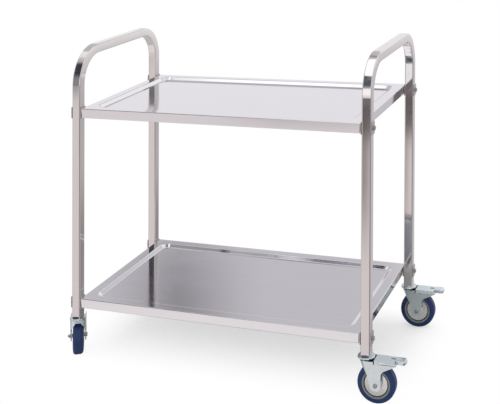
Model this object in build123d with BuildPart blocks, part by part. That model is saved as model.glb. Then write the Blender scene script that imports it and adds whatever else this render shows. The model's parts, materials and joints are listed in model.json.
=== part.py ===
from build123d import *
import os
from math import atan2, cos, radians, sin, tan

os.makedirs("parts", exist_ok=True)

# Two-tier serving trolley. Sizes are in millimetres and angles in degrees.
# X runs along the trolley, Y from its front to its rear, Z up from the floor.

# Whole trolley
LENGTH = 850.0  # over the legs
DEPTH = 450.0  # over the legs
HEIGHT = 850.0  # floor to the tops of the handles
HANDLE_RISE = 161.0  # handle top above the upper tray's rim
LEG_BELOW = 29.5  # bare leg under the lower tray

# End frames, each bent from one square tube
TUBE = 25.0
TUBE_WALL = 1.2
TUBE_CORNER = 3.0
BEND_R = 100.0  # outer radius of the handle bends

# Trays, pressed and folded from sheet
SHEET = 1.0
APRON = 26.0  # height of the folded edge
APRON_FOLD = 2.0  # outer radius of the fold between rim and apron
APRON_CORNER = 3.0  # outer radius of the aprons' upright corners
HEM = 9.0  # return along the apron's lower edge
RIM = 27.0  # flat border around the pan
STEP = 11.0  # width of the sloping step
RECESS = 8.0  # pan floor below the rim
STEP_FOLD = 5.0  # radius where the step meets the rim and the floor
PAN_CORNER = 28.0

# Hat-section rib under each tray
RIB_W = 40.0
RIB_FLANGE = 12.0
RIB_DEPTH = 14.0
RIB_SETBACK = 48.0  # from the tray's end

# Clamp plates on the legs and their bolts
PLATE_T = 2.5
PLATE_H = 32.0
PLATE_CORNER = 4.0
BOLT_R = 3.0
BOLT_HEX = 10.0  # across flats
BOLT_HEAD = 4.0
BOLT_TIP = 3.0  # thread that shows past a nut
BOLT_SLACK = 0.3  # radial slack of a bolt in its holes
WASHER_R = 6.5
WASHER_T = 1.2
NUT_H = 5.0

# Caster stem and swivel head
INSERT_H = 30.0
STEM_R = 5.0
STEM_H = 26.0  # thread above the cup
KING_R = 6.0
KING_HEAD_R = 9.5
KING_HEAD_H = 4.0
CUP_D = 44.0
CUP_T = 2.5
CUP_ROUND = 2.0
CUP_GAP = 2.5  # open ring between cup and crown
RACE_H = 4.0  # space for the ball race
RACE_INNER_R = 9.0
RACE_W = 8.0  # radial width of the ball race

# Caster fork, pressed from plate
FORK_T = 2.5
FORK_SIDE = 4.5  # space between tyre and fork cheek
FORK_FOLD = 10.0  # outer radius of the rounded leading corners
FORK_BOSS_R = 14.0  # rounded end of a cheek around the axle
CROWN_GAP = 6.5  # space between tyre and crown
CROWN_FRONT = 15.0  # crown ahead of the swivel axis
CROWN_ROUND = 2.0  # outer fold between crown and cheeks
HOOD = 10.0  # leading wall below the crown's top
TYRE_CLEAR = 3.5  # space over the tyre inside the fork
TRAIL = 28.0  # axle behind the swivel axis

# Wheel
WHEEL_D = 98.0
TYRE_W = 28.0
TYRE_T = 12.5
TYRE_SHOULDER = 8.0
CORE_INSET = 1.0  # core rim inside the tyre's side
CORE_LIP = 4.5  # radial width of the core's rim
CORE_WEB = 8.0
HUB_R = 15.0
COVER_GAP = 2.5  # open ring between cover and core rim
COVER_T = 1.5
COVER_BOSS = 2.0  # raised middle of the cover
COVER_INSET = 3.0  # cover inside the tyre's side
COVER_CLEAR = 2.0  # open ring between cover and axle sleeve
AXLE_R = 3.0
AXLE_HEAD_R = 5.5
AXLE_HEAD = 3.0
AXLE_HEAD_ROUND = 1.5
AXLE_HEX = 10.0  # nut across flats
AXLE_NUT = 5.0
AXLE_TIP = 3.0
SLEEVE_T = 2.0
BEARING_R = 11.0
BEARING_W = 7.0

# Brake on the braked casters
PEDAL_REACH = 102.0  # toe tip from the swivel axis
PEDAL_T = 2.2
PEDAL_CLEAR = 0.6  # pedal to fork cheek, each side
PEDAL_LIFT = 2.0  # pedal top above the crown
PEDAL_GAP = 1.0  # crown to the pedal plate
PEDAL_TRAVEL = 12.0  # degrees from free to locked
PEDAL_SLOT_L = 15.0
PEDAL_SLOT_W = 20.0
TOE_L = 26.0
TOE_W = 26.0
TOE_H = 9.0
TOE_RAISE = 4.0  # toe top above the pedal plate
TOE_ROUND = 9.0
TOE_EDGE = 1.2  # rounded edge of the toe's top
EAR_REACH = 81.0  # fork ear tip from the swivel axis
EAR_TIP_H = 4.0
EAR_ROOT_DROP = 24.0  # ear root below the crown's top
EAR_FILLET = 8.0
PIN_R = 3.0
PIN_SETBACK = 14.0  # pin behind the cup's edge
PIN_DROP = 4.5  # pin below the crown's top
LUG_R = 6.5
LUG_REACH = 18.0  # pedal lug behind the pin
SHOE_START = 6.0  # shoe behind the pin
SHOE_L = 18.0
SHOE_W = 22.0

# Fits
SEAT = 0.1  # slack between round pieces that are fixed together
RUN = 0.05  # radial clearance of a turning fit
SLIP = 0.5  # gap between faces that move past each other

# Side of the trolley that each caster is on, and the way its wheel trails from +X
CORNERS = {
    "front_left": (-1, -1, 120.0),
    "front_right": (1, -1, 0.0),
    "rear_left": (-1, 1, 240.0),
    "rear_right": (1, 1, 0.0),
}
BRAKED = ("front_right", "rear_right")

# Heights
wheel_r = WHEEL_D / 2
crown_low = WHEEL_D + CROWN_GAP
crown_top = crown_low + FORK_T
cup_low = crown_top + RACE_H
foot_z = cup_low + CUP_T
tray_heights = {"lower": foot_z + LEG_BELOW + APRON, "upper": HEIGHT - HANDLE_RISE}
bolt_heights = {name: rim_z - APRON / 2 for name, rim_z in tray_heights.items()}

# Places in plan
leg_x = LENGTH / 2 - TUBE / 2
leg_y = DEPTH / 2 - TUBE / 2
tray_x = LENGTH / 2 - TUBE - PLATE_T
plate_x = LENGTH / 2 + PLATE_T
bolt_hole_r = BOLT_R + BOLT_SLACK

# Caster sizes that follow from the ones above
fork_gap = TYRE_W + 2 * FORK_SIDE
fork_w = fork_gap + 2 * FORK_T
cup_r = CUP_D / 2
crown_rear = cup_r + SLIP
core_r = wheel_r - TYRE_T - SEAT
well_r = core_r - CORE_LIP
cover_face = TYRE_W / 2 - COVER_INSET
hub_end = cover_face - COVER_T
sleeve_r = AXLE_R + SEAT + SLEEVE_T
pin_x = cup_r + PIN_SETBACK
pin_z = crown_top - PIN_DROP
pedal_top = crown_top + PEDAL_LIFT
pedal_low = pedal_top - PEDAL_T
pedal_w = fork_gap - 2 * PEDAL_CLEAR
toe_start = PEDAL_REACH - TOE_L


def wheel_reach(turn):
    """How far a caster's tyre reaches from its swivel axis along -X."""
    along = abs(cos(radians(turn)))
    across = abs(sin(radians(turn)))
    tread = (wheel_r - TYRE_SHOULDER) * along + (TYRE_W / 2 - TYRE_SHOULDER) * across
    return tread + TYRE_SHOULDER - TRAIL * cos(radians(turn))


# The origin is on the floor under the middle of the whole box. The pedals reach further
# to the right than the wheels do to the left, so the frame stands a little off it.
frame_x = (wheel_reach(CORNERS["front_left"][2]) - PEDAL_REACH) / 2
leg_spots = [(frame_x + sx * leg_x, sy * leg_y, sx, sy) for sx, sy, _ in CORNERS.values()]


def save(piece, label):
    """Name a finished piece and write its file."""
    piece.part.label = label
    export_step(piece.part, f"parts/{label}.step")


def block(x0, x1, y0, y1, mode=Mode.ADD):
    """A rectangle in the current sketch, given by its sides."""
    with Locations(((x0 + x1) / 2, (y0 + y1) / 2)):
        Rectangle(x1 - x0, y1 - y0, mode=mode)


def drill_bolt_holes(x, reach, heights):
    """Cut the clamp bolts' holes through the current part, along X."""
    with BuildSketch(Plane.YZ.offset(x)) as holes:
        with Locations(*[(sy * leg_y, z) for sy in (-1, 1) for z in heights]):
            Circle(bolt_hole_r)
    extrude(holes.sketch, amount=reach, both=True, mode=Mode.SUBTRACT)


def end_frame(label, sx):
    """A front leg, handle and rear leg in one bent tube."""
    x = frame_x + sx * leg_x
    handle_z = HEIGHT - TUBE / 2
    bore = TUBE - 2 * TUBE_WALL
    with BuildPart() as frame:
        with BuildLine(Plane.YZ.offset(x)) as route:
            FilletPolyline(
                (-leg_y, foot_z),
                (-leg_y, handle_z),
                (leg_y, handle_z),
                (leg_y, foot_z),
                radius=BEND_R - TUBE / 2,
            )
        with BuildSketch(Plane((x, -leg_y, foot_z))):
            RectangleRounded(TUBE, TUBE, TUBE_CORNER)
            RectangleRounded(bore, bore, TUBE_CORNER - TUBE_WALL, mode=Mode.SUBTRACT)
        sweep(path=route.wire())
        drill_bolt_holes(x, TUBE, bolt_heights.values())
    save(frame, label)


def pan(rim_z, depth, grow, mode):
    """Add or cut the tapered pan of a tray, with its outline grown all round."""
    outlines = []
    for z, inset in ((rim_z, 0), (rim_z - depth, STEP)):
        with BuildSketch(Plane((frame_x, 0, z))) as outline:
            RectangleRounded(
                2 * (tray_x - RIM - inset + grow),
                2 * (DEPTH / 2 - RIM - inset + grow),
                PAN_CORNER - inset + grow,
            )
        outlines.append(outline.sketch)
    loft(outlines, ruled=True, mode=mode)


def tray(label, rim_z):
    """A tray with a pressed pan, folded aprons and hemmed lower edges."""
    low_z = rim_z - APRON
    inner_x = 2 * (tray_x - SHEET)
    inner_y = DEPTH - 2 * SHEET
    step_angle = atan2(RECESS, STEP)
    with BuildPart() as shelf:
        with BuildSketch(Plane((frame_x, 0, low_z))):
            RectangleRounded(2 * tray_x, DEPTH, APRON_CORNER)
        extrude(amount=APRON)
        fillet(shelf.faces().sort_by(Axis.Z)[-1].edges(), APRON_FOLD)
        with BuildSketch(Plane((frame_x, 0, low_z))):
            RectangleRounded(inner_x, inner_y, APRON_CORNER - SHEET)
        extrude(amount=APRON - SHEET, mode=Mode.SUBTRACT)
        with BuildSketch(Plane((frame_x, 0, low_z))):
            RectangleRounded(inner_x, inner_y, APRON_CORNER - SHEET)
            Rectangle(inner_x - 2 * HEM, inner_y - 2 * HEM, mode=Mode.SUBTRACT)
        extrude(amount=SHEET)
        pan(rim_z - SHEET, RECESS, SHEET * tan(step_angle / 2), Mode.ADD)
        pan(rim_z, RECESS, 0, Mode.SUBTRACT)
        rim = shelf.faces().filter_by(Axis.Z).sort_by(Axis.Z)[-1]
        fillet(rim.inner_wires()[0].edges(), STEP_FOLD)
        floor_middle = (frame_x, 0, rim_z - RECESS)
        floor = shelf.faces().filter_by(Axis.Z).sort_by_distance(floor_middle)[0]
        fillet(floor.outer_wire().edges(), STEP_FOLD)
        drill_bolt_holes(frame_x, LENGTH / 2, [rim_z - APRON / 2])
    save(shelf, label)


def tray_rib(label, rim_z):
    """The hat-section stiffener welded under a tray's floor."""
    seat_z = rim_z - RECESS - SHEET
    half = tray_x - RIB_SETBACK
    with BuildPart() as rib:
        with BuildSketch(Plane.YZ.offset(frame_x)):
            block(-RIB_W / 2 - RIB_FLANGE, RIB_W / 2 + RIB_FLANGE, seat_z - SHEET, seat_z)
            block(-RIB_W / 2, RIB_W / 2, seat_z - RIB_DEPTH, seat_z)
            channel = RIB_W / 2 - SHEET
            block(-channel, channel, seat_z - RIB_DEPTH + SHEET, seat_z, Mode.SUBTRACT)
        extrude(amount=half, both=True)
    save(rib, label)


def bolt_plane(x, y, z, sx):
    """A plane across a clamp bolt, with the way it faces along X."""
    return Plane((x, y, z), x_dir=(0, 1, 0), z_dir=(sx, 0, 0))


def bolt_places():
    """Leg side and place of every clamp bolt, on the trolley's long axis."""
    return [(sx, sy * leg_y, z) for _, _, sx, sy in leg_spots for z in bolt_heights.values()]


def clamp_plates(label, bolt_z):
    """Plates on the inner and outer sides of the four legs, at one tray's corners."""
    with BuildPart() as plates:
        for x, y, _, _ in leg_spots:
            for way in (-1, 1):
                with BuildSketch(bolt_plane(x + way * TUBE / 2, y, bolt_z, way)):
                    RectangleRounded(TUBE, PLATE_H, PLATE_CORNER)
                extrude(amount=PLATE_T)
        drill_bolt_holes(frame_x, LENGTH, [bolt_z])
    save(plates, label)


def hexagon(flats):
    RegularPolygon(flats / 2, 6, major_radius=False)


def clamp_fasteners():
    """Bolts from the outer clamp plates through the legs to nuts inside the trays."""
    head_x = plate_x + WASHER_T
    nut_x = tray_x - SHEET
    with BuildPart() as washers:
        for sx, y, z in bolt_places():
            with BuildSketch(bolt_plane(frame_x + sx * plate_x, y, z, sx)):
                Circle(WASHER_R)
                Circle(bolt_hole_r, mode=Mode.SUBTRACT)
            extrude(amount=WASHER_T)
    save(washers, "clamp_washers")
    with BuildPart() as bolts:
        for sx, y, z in bolt_places():
            seat = bolt_plane(frame_x + sx * head_x, y, z, sx)
            with BuildSketch(seat):
                hexagon(BOLT_HEX)
            extrude(amount=BOLT_HEAD)
            with BuildSketch(seat):
                Circle(BOLT_R)
            extrude(amount=-(head_x - nut_x + NUT_H + BOLT_TIP))
    save(bolts, "clamp_bolts")
    with BuildPart() as nuts:
        for sx, y, z in bolt_places():
            with BuildSketch(bolt_plane(frame_x + sx * nut_x, y, z, sx)):
                hexagon(BOLT_HEX)
                Circle(BOLT_R + SEAT, mode=Mode.SUBTRACT)
            extrude(amount=-NUT_H)
    save(nuts, "clamp_nuts")


def caster_plane(corner):
    """The floor under a leg, with X the way the wheel trails."""
    sx, sy, turn = CORNERS[corner]
    trail_way = (cos(radians(turn)), sin(radians(turn)), 0)
    return Plane((frame_x + sx * leg_x, sy * leg_y, 0), x_dir=trail_way)


def side_plane(base):
    """A caster seen from its side: X the trail, Y up."""
    return Plane(base.origin, x_dir=base.x_dir, z_dir=-base.y_dir)


def level_plane(base, z):
    """A caster seen from above at a height."""
    return Plane(base.from_local_coords((0, 0, z)), x_dir=base.x_dir)


def axle_plane(base):
    """A section through a wheel: X along the axle, Y the radius."""
    return Plane(base.from_local_coords((TRAIL, 0, wheel_r)), x_dir=base.y_dir, z_dir=base.x_dir)


def turn_on_axle(base):
    """Revolve the current sketch about the axle."""
    revolve(axis=Axis(base.from_local_coords((TRAIL, 0, wheel_r)), base.y_dir))


def swivel_heads():
    """What is fixed to the legs: tube inserts, stems and bearing cups."""
    plug = TUBE - 2 * TUBE_WALL - 2 * SEAT
    with BuildPart() as inserts:
        for x, y, _, _ in leg_spots:
            with BuildSketch(Plane((x, y, foot_z))):
                RectangleRounded(plug, plug, TUBE_CORNER - TUBE_WALL)
                Circle(STEM_R + SEAT, mode=Mode.SUBTRACT)
            extrude(amount=INSERT_H)
    save(inserts, "leg_inserts")
    with BuildPart() as stems:
        for x, y, _, _ in leg_spots:
            with BuildSketch(Plane((x, y, 0), x_dir=(1, 0, 0), z_dir=(0, -1, 0))):
                head_top = crown_low - SLIP
                block(0, KING_HEAD_R, head_top - KING_HEAD_H, head_top)
                block(0, KING_R, head_top, cup_low)
                block(0, STEM_R, cup_low, foot_z + STEM_H)
            revolve(axis=Axis((x, y, 0), (0, 0, 1)))
    save(stems, "caster_stems")
    with BuildPart() as cups:
        for x, y, _, _ in leg_spots:
            with BuildSketch(Plane((x, y, 0), x_dir=(1, 0, 0), z_dir=(0, -1, 0))) as section:
                block(STEM_R + SEAT, cup_r, cup_low, foot_z)
                block(cup_r - CUP_T, cup_r, crown_top + CUP_GAP, foot_z)
                outer_top = section.vertices().sort_by_distance((cup_r, foot_z))[0]
                fillet(outer_top, CUP_ROUND)
            revolve(axis=Axis((x, y, 0), (0, 0, 1)))
    save(cups, "swivel_cups")


def swivel_race(label, base):
    """The ball race between cup and fork, as one ring."""
    with BuildPart() as race:
        with BuildSketch(level_plane(base, crown_top)):
            Circle(RACE_INNER_R + RACE_W)
            Circle(RACE_INNER_R, mode=Mode.SUBTRACT)
        extrude(amount=RACE_H - SLIP)
    save(race, label)


def cheek_outline():
    """A fork cheek: the crown's edge drawn down to a rounded end at the axle."""
    with Locations((TRAIL, wheel_r)):
        Circle(FORK_BOSS_R)
    block(-CROWN_FRONT, TRAIL + FORK_BOSS_R, crown_low, crown_top)
    make_hull()


def round_leading_corners(piece, base, radius):
    """Round the two corners where the cheeks fold into the leading wall."""
    wall = piece.faces().sort_by(Axis(base.origin, base.x_dir))[0]
    across = Axis(base.origin, base.y_dir)
    fillet(wall.edges().filter_by(across, reverse=True), radius)


def fork(label, base, braked):
    """A pressed fork: crown, leading wall and two cheeks, with ears for a brake."""
    side = side_plane(base)
    with BuildPart() as inside:
        with BuildSketch(side):
            cheek_outline()
            offset(amount=-FORK_T)
        extrude(amount=fork_gap / 2, both=True)
        round_leading_corners(inside, base, FORK_FOLD - FORK_T)
        with BuildSketch(side):
            with Locations((TRAIL, wheel_r)):
                Circle(wheel_r + TYRE_CLEAR)
            block(crown_rear, PEDAL_REACH, wheel_r, pedal_top)
            block(-CROWN_FRONT, TRAIL, wheel_r, crown_top - HOOD)
        extrude(amount=fork_gap / 2, both=True)
    with BuildPart() as body:
        with BuildSketch(side):
            cheek_outline()
        extrude(amount=fork_w / 2, both=True)
        round_leading_corners(body, base, FORK_FOLD)
        crown = body.faces().sort_by(Axis.Z)[-1]
        fillet(crown.edges().sort_by(Axis(base.origin, base.x_dir))[:-1], CROWN_ROUND)
        if braked:
            root = (TRAIL + FORK_BOSS_R, crown_top - EAR_ROOT_DROP)
            with BuildSketch(side) as ears:
                block(crown_rear, root[0], wheel_r, crown_top)
                with BuildLine():
                    Polyline(
                        (crown_rear, crown_top),
                        (EAR_REACH, crown_top),
                        (EAR_REACH, crown_top - EAR_TIP_H),
                        root,
                        (crown_rear, root[1]),
                        close=True,
                    )
                make_face()
                fillet(ears.vertices().sort_by_distance(root)[0], EAR_FILLET)
            extrude(amount=fork_w / 2, both=True)
        add(inside.part, mode=Mode.SUBTRACT)
        with BuildSketch(side):
            with Locations((TRAIL, wheel_r)):
                Circle(AXLE_R + SEAT)
            if braked:
                with Locations((pin_x, pin_z)):
                    Circle(PIN_R + SEAT)
        extrude(amount=fork_w, both=True, mode=Mode.SUBTRACT)
        with BuildSketch(level_plane(base, crown_top)):
            Circle(KING_R + RUN)
        extrude(amount=WHEEL_D - crown_top, mode=Mode.SUBTRACT)
    save(body, label)


def axle(corner, base):
    """Axle bolt with a round head, its nut, and the spacer sleeve."""
    outward = base.y_dir * CORNERS[corner][1]
    centre = base.from_local_coords((TRAIL, 0, wheel_r))
    head_seat = Plane(centre + outward * (fork_w / 2), x_dir=base.x_dir, z_dir=outward)
    nut_seat = Plane(centre - outward * (fork_w / 2), x_dir=base.x_dir, z_dir=-outward)
    with BuildPart() as bolt:
        with BuildSketch(head_seat):
            Circle(AXLE_HEAD_R)
        extrude(amount=AXLE_HEAD)
        head_end = bolt.faces().sort_by(Axis(centre, outward))[-1]
        fillet(head_end.edges(), AXLE_HEAD_ROUND)
        with BuildSketch(head_seat):
            Circle(AXLE_R)
        extrude(amount=-(fork_w + AXLE_NUT + AXLE_TIP))
    save(bolt, f"{corner}_axle_bolt")
    with BuildPart() as nut:
        with BuildSketch(nut_seat):
            hexagon(AXLE_HEX)
            Circle(AXLE_R + SEAT, mode=Mode.SUBTRACT)
        extrude(amount=AXLE_NUT)
    save(nut, f"{corner}_axle_nut")
    with BuildPart() as sleeve:
        with BuildSketch(side_plane(Plane(centre, x_dir=base.x_dir))):
            Circle(sleeve_r)
            Circle(AXLE_R + SEAT, mode=Mode.SUBTRACT)
        extrude(amount=fork_gap / 2, both=True)
    save(sleeve, f"{corner}_axle_sleeve")


def wheel(corner, base):
    """Tyre, core, bearings and side covers of one wheel."""
    section = axle_plane(base)
    with BuildPart() as tyre:
        with BuildSketch(section) as tread:
            block(-TYRE_W / 2, TYRE_W / 2, wheel_r - TYRE_T, wheel_r)
            fillet(tread.vertices().group_by(Axis.Y)[-1], TYRE_SHOULDER)
        turn_on_axle(base)
    save(tyre, f"{corner}_tyre")
    with BuildPart() as core:
        rim_side = TYRE_W / 2 - CORE_INSET
        with BuildSketch(section):
            block(-rim_side, rim_side, well_r, core_r)
            block(-CORE_WEB / 2, CORE_WEB / 2, BEARING_R + SEAT, core_r)
            block(-hub_end, hub_end, BEARING_R + SEAT, HUB_R)
        turn_on_axle(base)
    save(core, f"{corner}_wheel_core")
    with BuildPart() as bearings:
        with BuildSketch(section):
            for way in (-1, 1):
                inner, outer = sorted((way * (hub_end - BEARING_W), way * hub_end))
                block(inner, outer, sleeve_r + RUN, BEARING_R)
        turn_on_axle(base)
    save(bearings, f"{corner}_wheel_bearings")
    with BuildPart() as covers:
        bore = sleeve_r + COVER_CLEAR
        with BuildSketch(section):
            for way in (-1, 1):
                with BuildLine():
                    Polyline(
                        (way * hub_end, bore),
                        (way * (cover_face + COVER_BOSS), bore),
                        (way * (cover_face + COVER_BOSS), BEARING_R),
                        (way * cover_face, HUB_R),
                        (way * cover_face, well_r - COVER_GAP),
                        (way * hub_end, well_r - COVER_GAP),
                        close=True,
                    )
                make_face()
        turn_on_axle(base)
    save(covers, f"{corner}_hub_covers")


def pedal(label, base):
    """The foot pedal: a slotted plate with lugs on the pin and a raised hollow toe."""
    side = side_plane(base)
    plate_end = toe_start + PEDAL_T
    with BuildPart() as lever:
        with BuildSketch(level_plane(base, pedal_top)):
            block(crown_rear + PEDAL_GAP, plate_end, -pedal_w / 2, pedal_w / 2)
            slot_w = PEDAL_SLOT_W / 2
            block(toe_start - PEDAL_SLOT_L, toe_start, -slot_w, slot_w, Mode.SUBTRACT)
        extrude(amount=-PEDAL_T)
        for wall, drop, mode in ((0, 0, Mode.ADD), (PEDAL_T, PEDAL_T, Mode.SUBTRACT)):
            with BuildSketch(level_plane(base, pedal_top + TOE_RAISE - drop)) as toe:
                half = TOE_W / 2 - wall
                block(toe_start + wall, PEDAL_REACH - wall, -half, half)
                fillet(toe.vertices().group_by(Axis.X)[-1], TOE_ROUND - wall)
            extrude(amount=-TOE_H, mode=mode)
        fillet(lever.faces().sort_by(Axis.Z)[-1].edges(), TOE_EDGE)
        for way in (-1, 1):
            inner_face = pedal_w / 2 - PEDAL_T
            with BuildSketch(side.offset(way * inner_face)):
                with Locations((pin_x, pin_z)):
                    Circle(LUG_R)
                block(pin_x - LUG_R, pin_x + LUG_REACH, pedal_low, pedal_top)
                make_hull()
            extrude(amount=way * PEDAL_T)
        with BuildSketch(side):
            with Locations((pin_x, pin_z)):
                Circle(PIN_R + RUN)
        extrude(amount=pedal_w, both=True, mode=Mode.SUBTRACT)
    save(lever, label)


def brake_pin(label, base):
    """The pin set flush in the fork's ears, which the pedal turns on."""
    with BuildPart() as pin:
        with BuildSketch(side_plane(base)):
            with Locations((pin_x, pin_z)):
                Circle(PIN_R)
        extrude(amount=fork_w / 2, both=True)
    save(pin, label)


def brake_shoe(label, base):
    """The shoe under the pedal, curved to meet the tyre when the pedal is down."""
    swing = radians(PEDAL_TRAVEL)
    axle_dx = TRAIL - pin_x
    axle_dz = wheel_r - pin_z
    # Where the axle lies, seen from the pedal, once the pedal is down
    met_x = pin_x + axle_dx * cos(swing) - axle_dz * sin(swing)
    met_z = pin_z + axle_dx * sin(swing) + axle_dz * cos(swing)
    start = pin_x + SHOE_START
    with BuildPart() as shoe:
        with BuildSketch(side_plane(base)):
            block(start, start + SHOE_L, met_z, pedal_low)
            with Locations((met_x, met_z)):
                Circle(wheel_r + SLIP, mode=Mode.SUBTRACT)
        extrude(amount=SHOE_W / 2, both=True)
    save(shoe, label)


end_frame("left_end_frame", -1)
end_frame("right_end_frame", 1)
for name, rim_z in tray_heights.items():
    tray(f"{name}_tray", rim_z)
    tray_rib(f"{name}_tray_rib", rim_z)
    clamp_plates(f"{name}_clamp_plates", bolt_heights[name])
clamp_fasteners()
swivel_heads()
for corner in CORNERS:
    base = caster_plane(corner)
    swivel_race(f"{corner}_swivel_race", base)
    fork(f"{corner}_fork", base, corner in BRAKED)
    axle(corner, base)
    wheel(corner, base)
    if corner in BRAKED:
        pedal(f"{corner}_brake_pedal", base)
        brake_pin(f"{corner}_brake_pin", base)
        brake_shoe(f"{corner}_brake_shoe", base)
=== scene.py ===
"""Finished looks of a two-tier serving trolley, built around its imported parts."""

import json
from math import acos, asin, radians, sqrt, tau

import bmesh
import bpy
from bmesh.types import BMEdge, BMFace, BMVert
from bpy.props import FloatProperty, FloatVectorProperty, IntProperty, PointerProperty
from mathutils import Matrix, Vector


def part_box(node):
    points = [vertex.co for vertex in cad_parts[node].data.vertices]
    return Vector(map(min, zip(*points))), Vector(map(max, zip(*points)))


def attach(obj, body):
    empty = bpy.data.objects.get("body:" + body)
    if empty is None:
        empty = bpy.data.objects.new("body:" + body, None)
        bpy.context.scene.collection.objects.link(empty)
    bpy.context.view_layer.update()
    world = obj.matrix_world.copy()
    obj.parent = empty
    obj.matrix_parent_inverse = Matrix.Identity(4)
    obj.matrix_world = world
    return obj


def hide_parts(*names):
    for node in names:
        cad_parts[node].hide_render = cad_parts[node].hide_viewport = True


bl_info = {
    "name": "Serving Trolley",
    "version": (1, 0, 0),
    "blender": (4, 5, 0),
    "location": "View3D > Sidebar > Trolley",
    "description": "Bent tube, folded trays, casters and finishes of a serving trolley",
    "category": "Object",
}

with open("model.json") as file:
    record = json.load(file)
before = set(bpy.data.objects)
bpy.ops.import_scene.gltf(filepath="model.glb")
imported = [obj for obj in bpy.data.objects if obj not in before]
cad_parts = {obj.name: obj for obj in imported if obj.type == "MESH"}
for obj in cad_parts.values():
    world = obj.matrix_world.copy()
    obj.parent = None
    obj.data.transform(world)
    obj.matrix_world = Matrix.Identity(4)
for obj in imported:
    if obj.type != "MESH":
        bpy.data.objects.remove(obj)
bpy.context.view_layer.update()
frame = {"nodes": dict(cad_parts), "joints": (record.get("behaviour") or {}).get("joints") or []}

LEVELS = ("lower", "upper")
CORNERS = ("front_left", "front_right", "rear_left", "rear_right")
SQUARE_CORNER = "front_right"  # its caster stands square to the trolley, so sizes are read there
BRAKED = [corner for corner in CORNERS if f"{corner}_brake_pedal" in frame["nodes"]]
JOINTS = {joint["name"]: joint for joint in frame["joints"]}
HIDDEN_NODES = {
    "leg_inserts": "insert_plastic",
    "caster_stems": "zinc_steel",
    "swivel_race": "bolt_steel",
    "axle_sleeve": "bolt_steel",
    "wheel_bearings": "bolt_steel",
}


# Settings

def length(name, description, default):
    return FloatProperty(name=name, description=description, default=default, min=0, unit="LENGTH")


def angle(name, description, default):
    return FloatProperty(name=name, description=description, default=default, unit="ROTATION")


def count(name, description, default):
    return IntProperty(name=name, description=description, default=default, min=1)


def share(name, description, default):
    return FloatProperty(name=name, description=description, default=default, subtype="FACTOR")


def colour(name, description, default):
    return FloatVectorProperty(
        name=name, description=description, default=default, min=0, max=1, subtype="COLOR"
    )


class TrolleyTube(bpy.types.PropertyGroup):
    """Square tube of the end frames"""
    corner: length("Corner", "Radius along the tube's edges", 0.003)
    bend: length("Bend", "Outer radius of the handle's bends", 0.1)
    corner_steps: count("Corner steps", "Faces across each rounded edge", 4)
    bend_steps: count("Bend steps", "Rings in each bend", 28)


class TrolleyTray(bpy.types.PropertyGroup):
    """Pressed and folded trays"""
    sheet: length("Sheet", "Thickness of the sheet", 0.001)
    rim: length("Rim", "Width of the flat border", 0.027)
    step: length("Step", "Width of the slope down to the pan", 0.011)
    recess: length("Recess", "Depth of the pan below the rim", 0.008)
    pan_corner: length("Pan corner", "Radius of the pan's corners", 0.028)
    step_fold: length("Step fold", "Half width of the folds beside the slope", 0.0016)
    apron_fold: length("Apron fold", "Radius between rim and apron", 0.002)
    apron_lean: length("Apron lean", "How far the apron's foot leans in", 0.0016)
    hem: length("Hem", "Width of the return along the apron's foot", 0.009)
    rib_width: length("Rib width", "Width of the channel under the pan", 0.04)
    rib_edge: length("Rib edge", "Rounding along the channel's edges", 0.0002)
    corner_steps: count("Corner steps", "Faces around each pan corner", 12)
    fold_steps: count("Fold steps", "Faces across each fold", 5)


class TrolleyClamp(bpy.types.PropertyGroup):
    """Clamp plates on the legs and their fasteners"""
    plate: length("Plate", "Thickness of the plates", 0.0025)
    corner: length("Corner", "Radius of the plates' corners", 0.004)
    edge: length("Edge", "Rounding along the edges of plates and washers", 0.0004)
    bolt: length("Bolt", "Radius of the clamp bolts", 0.003)
    bolt_hex: length("Bolt hex", "Clamp bolt head across its flats", 0.01)
    bolt_chamfer: length("Bolt chamfer", "Chamfer around a bolt's head", 0.0007)
    nut_chamfer: length("Nut chamfer", "Chamfer around a nut", 0.0006)
    washer: length("Washer", "Radius of the washers", 0.0065)
    washer_plate: length("Washer plate", "Thickness of the washers", 0.0012)
    washer_hole: length("Washer hole", "Radius of the washers' holes", 0.0033)
    washer_foot: length("Washer foot", "Rounding around the washers' inner side", 0.0003)
    pitch: length("Pitch", "Distance between thread crests", 0.001)
    tip: length("Tip", "Thread that shows past a nut", 0.003)


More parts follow.
